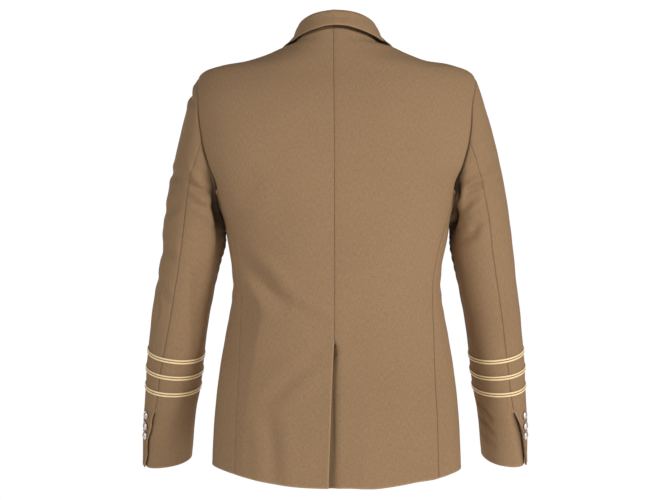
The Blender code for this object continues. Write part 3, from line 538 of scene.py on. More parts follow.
def back_half(side):
    over = side == "left"
    marks = SIDE_BACK_MARK * (1.0 - hole_steps)
    end = line(side_line(SIDE_BACK_SEAM, SIDE_BACK_MARK, seam_steps, True), armhole_place(marks))
    top = line(neck_place(near_centre), shoulder_line(near_tip))
    share = np.concatenate([0.4 * near_centre, 0.4 + 0.6 * near_tip])
    turn = turn_at(SIDE_BACK_SEAM[0][1] * share, HEM_SIDE)
    bottom = line((turn, hem_height(turn)))
    bottom[-1] = end[0]
    low = bottom[0, 1] + (end[len(seam_steps) - 1, 1] - bottom[0, 1]) * seam_steps
    up = rising(low[-1], NECK_BACK, np.concatenate([[SIDE_BACK_MARK], marks]))[1:]
    start = line((0.5 * np.pi, np.concatenate([low, up])))
    places = facing_patch(bottom, top, start, end, True)
    turn, height = places[..., 0], places[..., 1]
    x = body_point(turn, height)[..., 0]
    below = np.clip((VENT_TOP - height) / (VENT_TOP - height[0, 0]), 0.0, 1.0)
    beside = np.maximum(1.0 - x / VENT_UNDERLAP, 0.0)
    if over:
        x = x + VENT_OPENING * below ** 0.8 * beside
    else:
        x = x - VENT_UNDERLAP * ease((VENT_TOP - height) / 0.030) * beside
    moved = beside > 0.0
    turn = np.where(moved, turn_at(x, height), turn)
    outer, outward = body_point(turn, height), body_normal(turn, height)
    lift = pressed(outer, back_folds[side]) + unevenness(outer)
    placed = hung(outer * (SIDES[side], 1.0, 1.0), True)
    # Painted shadow on the back, in a band just under the fall of the collar.
    fall_edge = np.interp(np.abs(placed[..., 0]), *np.array(COLLAR)[:8, [2, 4]].T)
    depth, width, end_x = COLLAR_SHADE
    painted_shade = depth * np.exp(-((placed[..., 2] - fall_edge + width) / width) ** 2)
    painted_shade = painted_shade * (np.abs(placed[..., 0]) < end_x)
    if over:
        lift = lift + 0.0012 * ease(below / 0.08) * ease(1.0 - x / 0.030)
        lift = lift + 0.0005 * np.exp(-(np.maximum(x, 0.0) / 0.0032) ** 2)
    else:
        brink, more, less = VENT_BRINK
        brink = brink + more * ease(below / 0.12) - less * ease((below - 0.45) / 0.5)
        drop = VENT_DROP + VENT_DROP_TOP * (1.0 - ease(below / 0.3))
        strip = (ease((brink - x) / (0.0040 + 0.0020 * ease(below / 0.3)))
                 * ease((VENT_TOP + 0.003 - height) / 0.012))
        lift = lift - drop * strip
        # Painted shade on the underlap strip of the vent, darker at its top.
        painted_shade = painted_shade + (VENT_SHADE[0] + VENT_SHADE[1] * (1.0 - ease(below / 0.3))) * strip
        lift = lift - 0.0003 * np.exp(-(x / 0.0060) ** 2)
    outer = outer + outward * lift[..., None]
    faint = (0.0003 * np.exp(-(x / 0.010) ** 2)
             + 0.0005 * ease((height + 0.19) / 0.04) * ease((x - 0.19) / 0.01))
    if over:
        faint = faint + 0.0006 * ease((-0.255 - height) / 0.02) * ease((x - 0.13) / 0.01)
    return cloth_piece("back_" + side, outer, outward, ("end", "top"), side,
                       {"start": start[:, 1] > VENT_TOP}, faint=faint, painted_shade=painted_shade)


for side in SIDES:
    back = back_half(side)


# --- The sides ------------------------------------------------------------------------------------
# A narrow panel of the same cloth under each arm. It runs from the side back seam to the side
# front seam, takes the shaping of the waist, and ends at the underarm.

SIDE_FRONT_MARK = 15
SIDE_FRONT_SEAM = (
    # height, x
    (-0.7100, 0.1560), (-0.5500, 0.1500), (-0.4000, 0.1440), (-0.3200, 0.1600), (-0.2520, 0.1810),
)
SIDE_FOLDS = (
    # turn in degrees and height of each place, depth, width
    (((30.0, -0.3900), (8.0, -0.3980), (-20.0, -0.3900)), 0.0016, 0.0100),
    (((24.0, -0.4160), (4.0, -0.4210), (-14.0, -0.4180)), 0.0012, 0.0090),
)

for side in SIDES:
    start = line(side_line(SIDE_BACK_SEAM, SIDE_BACK_MARK, seam_steps, True))
    end = line(side_line(SIDE_FRONT_SEAM, SIDE_FRONT_MARK, seam_steps, False))
    steps = np.linspace(0.0, 1.0, 44)
    steps = steps + 0.6 * (ease(steps) - steps)
    top = line(armhole_place(SIDE_BACK_MARK + (SIDE_FRONT_MARK - SIDE_BACK_MARK) * steps))
    turn = start[0, 0] + (end[0, 0] - start[0, 0]) * steps
    bottom = line((turn, hem_height(turn)))
    places = patch(bottom, top, start, end)
    outer, outward = body_skin(places)
    folds = [(body_point(*np.array([(math.radians(turn), height) for turn, height in path]).T),
              depth, width) for path, depth, width in SIDE_FOLDS]
    lift = pressed(outer, folds + back_folds[side]) + unevenness(outer)
    faint = 0.0006 * (side == "left") * ease((-0.255 - places[..., 1]) / 0.02)
    faint = faint * ease(outer[..., 1] / 0.02)
    panel = cloth_piece("side_" + side, outer + outward * lift[..., None], outward,
                        ("start", "end"), side, faint=faint)


# --- The fronts -----------------------------------------------------------------------------------
# Each front is one panel from the side seam to the front edge, with a rounded corner at the hem.
# The left front laps over the right one below the lapels, where two buttons close it.

FRONT_OVERLAP = 0.0200
FRONT_LIFT = 0.0030
LIFT_ENDS = (0.0950, 0.0650)
LIFT_DROP = (-0.1000, 0.1000)
BREAK_HEIGHT = -0.3350
FRONT_CUTAWAY = (0.0650, 0.0600)
FRONT_FOLDS = (
    (((0.0300, -0.3600), (0.0700, -0.3750), (0.1150, -0.3720)), 0.0018, 0.0120),
    (((0.0350, -0.3900), (0.0750, -0.3990), (0.1250, -0.3980)), 0.0014, 0.0110),
    (((0.0700, -0.5000), (0.0780, -0.5700), (0.0820, -0.6400)), 0.0010, 0.0220),
    (((0.1650, -0.2650), (0.1420, -0.2400), (0.1300, -0.2050)), 0.0014, 0.0160),
)


def roll_x(height):
    """x of the front edge: straight below the break, along the roll line above it."""
    share = (height - BREAK_HEIGHT) / (GORGE[1] - BREAK_HEIGHT)
    rolled = -FRONT_OVERLAP + (GORGE[0] + FRONT_OVERLAP) * share
    corner = (HEM_SIDE - HEM_FRONT_DROP + FRONT_CUTAWAY[1] - height) / FRONT_CUTAWAY[1]
    corner = np.clip(corner, 0.0, 1.0)
    cut = -FRONT_OVERLAP + FRONT_CUTAWAY[0] * (1.0 - np.sqrt(1.0 - corner ** 2))
    return np.where(height > BREAK_HEIGHT, rolled, cut)


def front_lift(side, x, height):
    """The left front lies outside the right one where they cross."""
    if side == "right":
        return 0.0 * x
    from_side = (LIFT_ENDS[0] - x) / LIFT_ENDS[1]
    from_top = (LIFT_DROP[0] - height) / LIFT_DROP[1]
    return FRONT_LIFT * ease(from_side) * ease(from_top)


front_folds = [(body_trace(path, False), depth, width) for path, depth, width in FRONT_FOLDS]

for side in SIDES:
    marks = SIDE_FRONT_MARK + (MARKS - SIDE_FRONT_MARK) * hole_steps
    end = line(side_line(SIDE_FRONT_SEAM, SIDE_FRONT_MARK, seam_steps, False),
               armhole_place(marks))
    foot = HEM_SIDE - HEM_FRONT_DROP
    low = foot + (end[len(seam_steps) - 1, 1] - foot) * seam_steps
    up = rising(low[-1], GORGE[1], np.concatenate([[SIDE_FRONT_MARK], marks]))[1:]
    heights = np.concatenate([low, up])
    start = line((turn_at(roll_x(heights), heights, False), heights))
    top = line(neck_place(2.0 - near_centre), shoulder_line(near_tip))
    share = np.concatenate([0.35 * near_centre, 0.35 + 0.65 * near_tip])
    x = roll_x(foot) + (SIDE_FRONT_SEAM[0][1] - roll_x(foot)) * share
    turn = turn_at(x, HEM_SIDE, False)
    bottom = line((turn, hem_height(turn)))
    bottom[0], bottom[-1] = start[0], end[0]
    places = facing_patch(bottom, top, start, end, False)
    outer, outward = body_skin(places)
    lift = (pressed(outer, front_folds) + unevenness(outer)
            + front_lift(side, outer[..., 0], outer[..., 2]))
    panel = cloth_piece("front_" + side, outer + outward * lift[..., None], outward,
                        ("end", "top"), side)


# --- The lapels -----------------------------------------------------------------------------------
# Above the top button each front edge is turned out and pressed back along the roll line. The lapel
# is cut wider towards the notch, and its roll is soft, not creased flat.

LAPEL_TIP = (0.1400, -0.0960)
LAPEL_BELLY = (0.0900, -0.2100)
LAPEL_BULGE = 0.0030
LAPEL_SEAT = 0.0010
LAPEL_CLEAR = 0.0020
LAPEL_START = {"left": 0.03, "right": 0.16}
LAPEL_ROLL = 0.0038         # radius of the roll round the front edge

for side in SIDES:
    rows, columns, roll_columns = 84, 36, 9
    foot = np.array((-FRONT_OVERLAP, BREAK_HEIGHT))
    gorge = np.array((GORGE[0] + 0.004, GORGE[1] - 0.006))
    along = (LAPEL_START[side] + (1.0 - LAPEL_START[side]) * np.linspace(0.0, 1.0, rows))[:, None]
    rolled = foot + (gorge - foot) * along
    edge = ((1 - along) ** 2 * foot + 2 * along * (1 - along) * np.array(LAPEL_BELLY)
            + along ** 2 * np.array(LAPEL_TIP))
    if side == "right":
        tucked = -roll_x(rolled[:, 1]) + 0.0060
        rolled[:, 0] = np.minimum(np.maximum(rolled[:, 0], tucked), edge[:, 0] - 0.0010)
    across = np.linspace(0.0, 1.0, columns)[None, :]
    flat = rolled[:, None] + (edge - rolled)[:, None] * across[..., None]
    turn = turn_at(flat[..., 0], flat[..., 1], False)
    outward = body_normal(turn, flat[..., 1])
    skin = body_point(turn, flat[..., 1])
    lift = (front_lift(side, flat[..., 0], flat[..., 1]) + CLOTH + LAPEL_SEAT
            + pressed(skin, front_folds) + unevenness(skin)
            + LAPEL_CLEAR * ease(4.0 * across) + LAPEL_BULGE * np.sin(np.pi * across))
    outer = skin + outward * lift[..., None]
    out, sideways = outward[:, :1], unit(outer[:, :1] - outer[:, 4:5])
    swell = ease((along - (0.253 if side == "right" else LAPEL_START[side])) / 0.08)
    radius = LAPEL_ROLL * (0.2 + 0.8 * swell)[:, None]
    turn = np.linspace(math.radians(150), 0.0, roll_columns)[None, :-1, None]
    round_it = (outer[:, :1] - out * radius
                + radius * (out * np.cos(turn) + sideways * np.sin(turn)))
    outer = np.concatenate([round_it, outer], axis=1)
    outward = np.concatenate([out * np.cos(turn) + sideways * np.sin(turn), outward], axis=1)
    lapel = cloth_piece("lapel_" + side, outer, outward, (), side)


# --- The collar -----------------------------------------------------------------------------------
# One shaped strip, seamed at the centre back. Its stand rises from the neck seam, it rolls over,
# and the fall lies just clear of the shoulders and ends at the notch above each lapel.

COLLAR_FOLD = 0.0026
SEAM_LIFT = 0.0008
COLLAR_CLEAR = 0.0016


def outside_body(points, clearance):
    """Points moved out to lie at least this far outside the body."""
    x, y, z = np.moveaxis(points, -1, 0)
    half_width, back, front = (curve(BODY, column, z) for column in (1, 2, 3))
    turn = np.arctan2(y / np.where(y >= 0.0, back, front), x / half_width)
    outward = body_normal(turn, z)
    short = clearance - np.sum((points - body_point(turn, z)) * outward, axis=-1)
    return points + outward * np.maximum(short, 0.0)[..., None]


marks = np.concatenate([1.3 * np.linspace(0.0, 1.0, 62)[:-1], np.linspace(1.3, 2.0, 40)])
place = neck_place(marks)
along = body_point(*neck_place(marks + 0.01)) - body_point(*neck_place(marks - 0.01))
outward = body_normal(*place)
upright = unit(np.cross(along, outward))
seam = body_point(*place) - outward * CLOTH + upright * SEAM_LIFT
fold = seam + upright * curve(COLLAR, 1, marks)[:, None] + outward * COLLAR_FOLD
edge = np.stack([curve(COLLAR, column, marks) for column in (2, 3, 4)], axis=-1)
edge = outside_body(edge, CLOTH + COLLAR_CLEAR)
upward = unit(fold - 0.5 * (seam + edge))
over = unit(edge - seam - upward * np.sum((edge - seam) * upward, axis=-1, keepdims=True))
across = [seam + (fold - over * COLLAR_FOLD - seam) * share for share in np.linspace(0.0, 0.9, 8)]
for degrees in range(180, -1, -20):
    turn = math.radians(degrees)
    across.append(fold + COLLAR_FOLD * (over * math.cos(turn) + upward * math.sin(turn)))
last = across[-1]
for share in [*np.linspace(0.0, 0.94, 18)[1:], 0.965, 0.985, 1.0]:
    belly = 0.0016 * math.sin(math.pi * share) * share
    point = outside_body(last + (edge - last) * share, CLOTH + COLLAR_CLEAR)
    across.append(point + outward * belly)
half = np.stack(across, axis=1)
outer = np.concatenate([(half * (-1.0, 1.0, 1.0))[:0:-1], half])
outward = unit(np.cross(np.gradient(outer, axis=1), np.gradient(outer, axis=0)))
# Painted shade on the last row of the fall, its very edge, fading out towards the collar's ends.
painted_collar_edge_shade = np.zeros(outer.shape[:2])
painted_collar_edge_shade[:, -1] = 0.0125 * (1.0 - ease((np.abs(outer[:, -1, 0]) - 0.075) / 0.02))
collar = cloth_piece("collar", outer, outward, ("start",),
                     crossed=0.0008 + np.abs(outer[..., 0] - 0.0045), painted_shade=painted_collar_edge_shade)


# --- The sleeves ----------------------------------------------------------------------------------
# Each is cut in two, a wide top half and a narrow under half, joined by a fore and a hind seam. The
# head is eased into the armhole, the sleeve bends forward at the elbow, and at the cuff the hind
# seam ends in a slit whose upper edge carries the buttons.

HIND_MARK, FORE_MARK = 6, 16
SLEEVE = (
    # height, x, y, half_width, half_depth, rise_x, rise_y, hind_angle
    (-0.6950, 0.2873, -0.0930, 0.0404, 0.0487, -0.12, -0.16, 38.0),
    (-0.6475, 0.2839, -0.0820, 0.0418, 0.0500, -0.08, -0.19, 52.0),
    (-0.6055, 0.2798, -0.0720, 0.0430, 0.0515, -0.02, -0.22, 65.0),
    (-0.5639, 0.2743, -0.0620, 0.0450, 0.0530, 0.05, -0.24, 72.0),
    (-0.5224, 0.2692, -0.0500, 0.0461, 0.0550, 0.11, -0.24, 74.0),
    (-0.4815, 0.2643, -0.0400, 0.0460, 0.0570, 0.13, -0.21, 76.0),
    (-0.4410, 0.2582, -0.0320, 0.0466, 0.0590, 0.11, -0.17, 76.5),
    (-0.4010, 0.2509, -0.0260, 0.0477, 0.0610, 0.13, -0.13, 76.5),
    (-0.3612, 0.2444, -0.0200, 0.0492, 0.0630, 0.14, -0.10, 78.0),
    (-0.3215, 0.2372, -0.0140, 0.0507, 0.0650, 0.14, -0.07, 78.0),
    (-0.2960, 0.2354, -0.0120, 0.0490, 0.0660, 0.14, -0.05, 80.0),
)
SLEEVE_CORNER = 2.15
FORE_ANGLE = 237.0
SLEEVE_TOP, SLEEVE_HEM = -0.2960, -0.6950
SLEEVE_SPREAD = {"left": 0.0014, "right": -0.0014}
HEM_RISE = {"left": 0.0004, "right": 0.0052}    # how far each cuff is drawn up at its hem
HIND_SWING = {"left": 7.0, "right": 0.0}    # degrees by which the left hind seam lies further out
SLEEVE_LEAVE = (0.36, 0.06, 0.25, -0.85)
LEAVE_PULL, ARRIVE_PULL = 0.48, 0.95
SLIT_TOP = -0.5930
SLIT_GAPE = {"left": 0.10, "right": 1.05}   # marks by which the slit stands open half way down
SLIT_LIFT = 0.0028              # how far the top half lies outside at the slit
SLIT_SINK = 0.0034              # how far the under half lies inside there
SLIT_UNDERLAP = 1.6
# painted shade on the under half where the slit stands open
SLIT_SHADE = 0.0110
SEAM_GAP = 0.0003           # between a sleeve and the body

# Troughs on each sleeve: (mark round the sleeve, share down its head or 1 + share below it) for
# each place along them, then depth and width. A trough of less than no depth is a ridge. Deep
# pockets sink in behind the arm; the left sleeve is the more creased one.
FORE_FOLDS = (
    (((18.5, 1.24), (16.0, 1.28), (13.0, 1.25)), 0.0026, 0.0120),
    (((20.0, 1.34), (17.0, 1.37), (14.0, 1.34)), 0.0020, 0.0110),
    (((20.0, 0.60), (17.5, 0.66), (15.5, 0.72)), 0.0022, 0.0110),
)
SLEEVE_FOLDS = {
    "right": (
        (((8.4, 0.08), (8.8, 0.12), (9.2, 0.14), (9.6, 0.12)), 0.0200, 0.0066),
        (((10.1, 0.28), (10.8, 0.45), (11.2, 0.60), (11.3, 0.74)), 0.0180, 0.0090),
        (((12.0, 0.02), (12.2, 0.45), (12.2, 0.85), (12.2, 1.20)), -0.0056, 0.0085),
        (((8.6, 0.27), (7.2, 0.40), (6.1, 0.51), (4.0, 0.63)), -0.0028, 0.0050),
        (((8.6, 0.44), (7.6, 0.44), (6.7, 0.51), (5.4, 0.59)), 0.0044, 0.0048),
        (((6.2, 0.40), (4.2, 0.52), (1.5, 0.62)), 0.0026, 0.0080),
        (((9.0, 0.60), (7.9, 0.57), (6.6, 0.61)), 0.0040, 0.0055),
        (((9.8, 1.05), (8.1, 1.02), (6.9, 0.96)), 0.0040, 0.0070),
        *FORE_FOLDS[:2],
        (((11.6, 1.72), (10.4, 1.75), (9.4, 1.79)), 0.0040, 0.0040),
        (((11.8, 1.80), (10.6, 1.82), (9.6, 1.86)), 0.0036, 0.0038),
        (((12.0, 1.87), (10.8, 1.89), (9.8, 1.92)), 0.0026, 0.0036),
        FORE_FOLDS[2],
    ),
    "left": (
        (((21.5, 0.19), (0.0, 0.17), (2.2, 0.17), (3.2, 0.08)), 0.0040, 0.0055),
        (((7.6, 0.02), (8.6, 0.06), (9.6, 0.10), (10.4, 0.20), (10.9, 0.45), (11.1, 0.70)),
         0.0095, 0.0130),
        (((12.0, 0.10), (12.2, 0.50), (12.2, 0.90), (12.2, 1.20)), -0.0056, 0.0085),
        (((9.4, 0.36), (10.2, 0.60), (10.8, 1.00), (10.7, 1.12)), 0.0045, 0.0100),
        (((22.0, 0.72), (-0.3, 0.70), (3.3, 0.67), (4.9, 0.61), (6.1, 0.54)), 0.0030, 0.0062),
        (((5.6, 0.56), (7.0, 0.50), (7.8, 0.42), (8.8, 0.27)), 0.0056, 0.0048),
        (((7.2, 0.36), (6.0, 0.44), (4.6, 0.48)), -0.0024, 0.0050),
        (((23.0, 0.95), (2.7, 0.91), (3.9, 0.86), (5.2, 0.80)), 0.0026, 0.0080),
        (((6.8, 0.72), (8.1, 0.64), (9.4, 0.48)), 0.0038, 0.0055),
        (((23.0, 1.08), (3.1, 1.11), (4.3, 1.13), (5.6, 1.16)), 0.0024, 0.0090),
        (((23.0, 1.22), (2.6, 1.25), (4.1, 1.27), (5.4, 1.31)), 0.0022, 0.0080),
        (((2.2, 1.27), (3.5, 1.33), (3.2, 1.41)), 0.0024, 0.0055),
        *FORE_FOLDS,
    ),
}

# Painted shade where the sleeve lies in the body's shadow under the arm, in the same terms, with
# how dark in place of depth.
SLEEVE_PAINTED_SHADE = {
    "right": (
        (((7.4, 0.02), (8.2, 0.08), (8.8, 0.13), (9.2, 0.14), (9.7, 0.12)), 0.0170, 0.0080),
        (((10.0, 0.26), (10.8, 0.45), (11.3, 0.68), (11.7, 0.90), (12.1, 1.10), (12.3, 1.35)),
         0.0160, 0.0100),
    ),
    "left": (
        (((7.3, 0.00), (8.2, 0.03), (9.3, 0.10), (10.4, 0.25), (11.0, 0.50), (11.4, 0.85),
          (11.9, 1.10), (12.2, 1.35)), 0.0135, 0.0140),
    ),
}


def section_point(side, angle, height):
    x, y, half_width, half_depth, rise_x, rise_y = (curve(SLEEVE, column, height)
                                                    for column in range(1, 7))
    share = (SLEEVE_TOP - height) / (SLEEVE_TOP - SLEEVE_HEM)
    x = x + SLEEVE_SPREAD[side] * share
    half_width = half_width + SLEEVE_SPREAD[side] * share
    across, aft = np.cos(angle), np.sin(angle)
    reach = (np.abs(across) ** SLEEVE_CORNER + np.abs(aft) ** SLEEVE_CORNER) ** (-1 / SLEEVE_CORNER)
    dx, dy = half_width * reach * across, half_depth * reach * aft
    return np.stack([x + dx, y + dy, height + rise_x * dx + rise_y * dy], axis=-1)


def section_angle(side, mark, height):
    swing = HIND_SWING[side] * ease((-0.42 - height) / 0.12) * (1.0 - ease((-0.60 - height) / 0.09))
    hind = curve(SLEEVE, 7, height) - swing
    mark = mark % MARKS
    return np.radians(np.where(
        mark < HIND_MARK, hind * mark / HIND_MARK,
        np.where(mark < FORE_MARK,
                 hind + (FORE_ANGLE - hind) * (mark - HIND_MARK) / (FORE_MARK - HIND_MARK),
                 FORE_ANGLE + (360.0 - FORE_ANGLE) * (mark - FORE_MARK) / (MARKS - FORE_MARK))))


def sleeve_point(side, mark, along):
    """Sleeve surface: the head for along 0 to 1, then the straight part from 1 to 2."""
    mark, along = np.broadcast_arrays(np.asarray(mark, float), np.asarray(along, float))
    height = SLEEVE_TOP + (SLEEVE_HEM - SLEEVE_TOP) * (np.clip(along, 1.0, 2.0) - 1.0)
    straight = section_point(side, section_angle(side, mark, height), height)
    turn, hole_height = armhole_place(mark)
    outward = body_normal(turn, hole_height)
    ring_way = unit(body_point(*armhole_place(mark + 0.1)) - body_point(*armhole_place(mark - 0.1)))
    first = body_point(turn, hole_height) + (outward + np.cross(ring_way, outward)) * SEAM_GAP
    angle = mark * 2.0 * np.pi / MARKS
    across, more, aft, down = SLEEVE_LEAVE
    leave = unit(np.stack([across + more * np.cos(angle), aft * np.sin(angle),
                           np.full(angle.shape, down)], axis=-1))
    top = np.full(mark.shape, SLEEVE_TOP)
    last = section_point(side, section_angle(side, mark, top), top)
    below = section_point(side, section_angle(side, mark, top - 0.01), top - 0.01)
    chord = np.linalg.norm(last - first, axis=-1, keepdims=True)
    leave, arrive = leave * chord * LEAVE_PULL, unit(below - last) * chord * ARRIVE_PULL
    s = np.minimum(along, 1.0)[..., None]
    head = (first * (1 + 2 * s) * (1 - s) ** 2 + last * s * s * (3 - 2 * s)
            + leave * s * (1 - s) ** 2 - arrive * s * s * (1 - s))
    return np.where(along[..., None] < 1.0, head, straight)


def sleeve_normal(side, mark, along):
    low, high = np.maximum(along - 0.004, 0.0), np.minimum(along + 0.004, 2.0)
    round_it = sleeve_point(side, mark + 0.02, along) - sleeve_point(side, mark - 0.02, along)
    down_it = sleeve_point(side, mark, high) - sleeve_point(side, mark, low)
    return unit(np.cross(down_it, round_it))


def sleeve_along(height):
    return 1.0 + (height - SLEEVE_TOP) / (SLEEVE_HEM - SLEEVE_TOP)


def sleeve_traces(side, table):
    """Points on the sleeve along each fold of a table, with its depth and width."""
    folds = []
    for path, depth, width in table[side]:
        marks, shares = np.array(path).T
        marks = np.unwrap(marks, period=MARKS)
        at = np.linspace(0, len(path) - 1, 9)
        marks, shares = (np.interp(at, range(len(path)), row) for row in (marks, shares))
        folds.append((sleeve_point(side, marks, shares), depth, width))
    return folds


def sleeve_lift(side, mark, along, points):
    tuck = ease(mark - 6.8) * (1.0 - ease(mark - 11.2))
    held = ease(along / (0.07 - 0.045 * tuck))
    return (pressed(points, sleeve_traces(side, SLEEVE_FOLDS)) + unevenness(points)) * held


sleeve_steps = np.concatenate([np.linspace(0.0, 1.0, 62)[:-1], np.linspace(1.0, 2.0, 112)])
ALLOWANCE = ((0.0040, 0.0030), (0.0012, 0.0029), (0.0002, 0.0022))  # in under the body, how deep
for side in SIDES:
    for half, first, last, columns in (("top", FORE_MARK - MARKS, HIND_MARK, 66),
                                       ("under", HIND_MARK, FORE_MARK, 46)):
        steps = np.linspace(0.0, 1.0, columns)
        steps = steps + 0.6 * (ease(steps) - steps)
        mark = (first + (last - first) * steps)[None, :]
        along = sleeve_steps[:, None]
        height = SLEEVE_TOP + (SLEEVE_HEM - SLEEVE_TOP) * (along - 1.0)
        opened = ease((SLIT_TOP - height) / 0.008)
        down_slit = np.clip((SLIT_TOP - height) / (SLIT_TOP - SLEEVE_HEM), 0.0, 1.0)
        if half == "top":
            near = ease(mark - (HIND_MARK - 1.0))
            gape = SLIT_GAPE[side] * np.sin(np.pi * np.minimum(down_slit, 0.8)) - 0.15 * opened
            if side == "left":
                gape = gape + 0.10 * np.sin(14.0 * down_slit) * opened
            mark = mark - gape * near
            extra = opened * SLIT_LIFT * near
        else:
            near = np.clip(HIND_MARK + 1.0 - mark, 0.0, 1.0)
            mark = mark - opened * SLIT_UNDERLAP * near
            extra = -opened * SLIT_SINK * ease(1.6 * near)
        mark, along = np.broadcast_arrays(mark, along)
        outer, outward = sleeve_point(side, mark, along), sleeve_normal(side, mark, along)
        steps_down = np.diff(outer, axis=0, prepend=outer[:1])
        from_hole = np.linalg.norm(steps_down, axis=-1).cumsum(axis=0)
        upper = ease((outer[..., 2] + 0.19) / 0.04) * ease(outer[..., 1] / 0.02)
        extra = extra - (0.0010 - 0.0007 * upper) * np.exp(-(from_hole / 0.0020) ** 2)
        faint = 0.0005 * upper * np.exp(-(from_hole / 0.0080) ** 2)
        lift = sleeve_lift(side, mark, along, outer)
        # Painted shade under the arm.
        painted_shade = -pressed(outer, sleeve_traces(side, SLEEVE_PAINTED_SHADE))
        # Painted shade on the under half where the slit stands open.
        if half == "under":
            painted_shade = painted_shade + SLIT_SHADE * SLIT_GAPE[side] * opened * ease(1.5 * near)
        outer = outer + outward * (lift + extra)[..., None]
        outer[..., 2] += HEM_RISE[side] * ease((along - 1.72) / 0.28)
        turn, hole_height = armhole_place(mark[0])
        skin = body_normal(turn, hole_height)
        ring_way = unit(body_point(*armhole_place(mark[0] + 0.1))
                        - body_point(*armhole_place(mark[0] - 0.1)))
        away = np.cross(ring_way, skin)
        under = [(outer[0] - away * inset - skin * depth)[None] for inset, depth in ALLOWANCE]
        outer = np.concatenate(under + [outer])
        outward, faint, painted_shade = (np.concatenate([rows[:1]] * len(ALLOWANCE) + [rows])
                                for rows in (outward, faint, painted_shade))
        top_rows = np.concatenate([np.full(len(ALLOWANCE), -1.0), sleeve_steps])
        sewn = (SLEEVE_TOP + (SLEEVE_HEM - SLEEVE_TOP) * (top_rows - 1.0)) > SLIT_TOP
        piece = cloth_piece("sleeve_%s_%s" % (side, half), outer, outward,
                            ("start", "end", "bottom"), side,
                            {"end" if half == "top" else "start": sewn}, len(ALLOWANCE),
                            faint=faint, painted_shade=painted_shade)


# --- The braid ------------------------------------------------------------------------------------
# Three rings of gold braid round each sleeve above the cuff. Each is a pair of plaited metal thread
# cords laid side by side and sewn down, so that it stands proud with a groove along its middle.

BRAID_HEIGHTS = (-0.5070, -0.5350, -0.5640)
CORD_APART = 0.0044         # between the middles of the two cords of a ring
CORD_HALF = (0.0016, 0.0012)
CORD_GIRTH = 0.0110
CORD_STANDS = 0.0006        # middle of a cord over the cloth
PLAIT_ANGLE = math.radians(38)

gold, tree, shader = new_material("gold_thread")
laid = node(tree, "UVMap", uv_map="UVMap").outputs["UV"]
strands, crossing = (
    node(tree, "TexWave", Scale=230.0, Distortion=0.4, Detail=1.0,
         Vector=node(tree, "Mapping", Vector=laid, Rotation=(0.0, 0.0, angle)).outputs[0])
    for angle in (PLAIT_ANGLE, -PLAIT_ANGLE))
plait = worked_out(tree, "MAXIMUM", strands.outputs["Fac"], crossing.outputs["Fac"])
tone = ramp(tree, plait, (0.25, (0.820, 0.520, 0.230)), (0.75, (1.000, 0.810, 0.480)))
# Painted shade on the cords: darker round their flanks and darkest on the undersides that face the
# cloth.
painted_flank_shade = ranged(tree, marked_by(tree, "proud"), -0.1, 0.60, 0.05, 1.0)
plug(tree, shader, Base_Color=shaded(tree, tone, painted_flank_shade), Normal=bumped(tree, plait, 0.5, 0.0004),
     Roughness=0.50, Specular_IOR_Level=0.25)

for side in SIDES:
    for number, height in enumerate(BRAID_HEIGHTS, start=1):
        around, section = 256, 12
        mark = np.linspace(0.0, MARKS, around + 1)[:-1]
        along = np.full(around, sleeve_along(height))
        place, out = sleeve_point(side, mark, along), sleeve_normal(side, mark, along)
        place = place + out * (sleeve_lift(side, mark, along, place) + CORD_STANDS)[:, None]
        down = unit(np.cross(unit(np.roll(place, -1, axis=0) - np.roll(place, 1, axis=0)), out))
        parts = []
        for shift in (-0.5, 0.5):
            turn = np.linspace(0.0, 2.0 * np.pi, section + 1)[None, :-1, None]
            middle = place + down * shift * CORD_APART
            ring = (middle[:, None] + down[:, None] * np.cos(turn) * CORD_HALF[0]
                    + out[:, None] * np.sin(turn) * CORD_HALF[1]) * (SIDES[side], 1.0, 1.0)
            bpy.ops.object.select_all(action="DESELECT")
            bpy.ops.mesh.primitive_torus_add(major_segments=around, minor_segments=section,
                                             major_radius=0.04, minor_radius=0.002)
            cord = bpy.context.object
            cord.data.vertices.foreach_set("co", ring.reshape(-1))
            cord.data.update()
            # The height round each cord's section, from its underside to its top, which sets its
            # painted shade.
            marked = cord.data.attributes.new("proud", "FLOAT", "POINT")
            marked.data.foreach_set("value", np.tile(np.sin(turn[0, :, 0]), around))
            corner_vertex = np.zeros(len(cord.data.loops), int)
            cord.data.loops.foreach_get("vertex_index", corner_vertex)
            face = np.arange(len(corner_vertex)) // 4
            ring_number, spoke = corner_vertex // section, corner_vertex % section
            ring_number = np.where((face // section == around - 1) & (ring_number == 0),
                                   around, ring_number)
            length = np.linalg.norm(np.diff(middle, axis=0, append=middle[:1]), axis=1).sum()
            spoke = np.where((face % section == section - 1) & (spoke == 0), section, spoke)
            uv = np.stack([ring_number * length / around, spoke * CORD_GIRTH / section], axis=-1)
            cord.data.uv_layers.active.data.foreach_set("uv", uv.reshape(-1))
            parts.append(cord)
        bpy.ops.object.select_all(action="DESELECT")
        for cord in parts:
            cord.select_set(True)
        bpy.context.view_layer.objects.active = parts[0]
        bpy.ops.object.join()
        braid = bpy.context.object
        solid = "braid_%s_%d" % (side, number)
        braid.name = braid.data.name = solid + "_cords"
        bpy.ops.object.mode_set(mode="EDIT")
        bpy.ops.mesh.select_all(action="SELECT")
        bpy.ops.mesh.normals_make_consistent(inside=False)
        bpy.ops.object.mode_set(mode="OBJECT")
        bpy.ops.object.shade_smooth()
        braid.data.materials.clear()
        braid.data.materials.append(gold)
        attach(braid, "root")
        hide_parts(solid)


# --- The buttons ----------------------------------------------------------------------------------
# Stamped metal domes with a rolled rim, on a wire shank sewn through the cloth: three on each cuff,
# along the upper edge of the slit, and two larger ones that close the front.

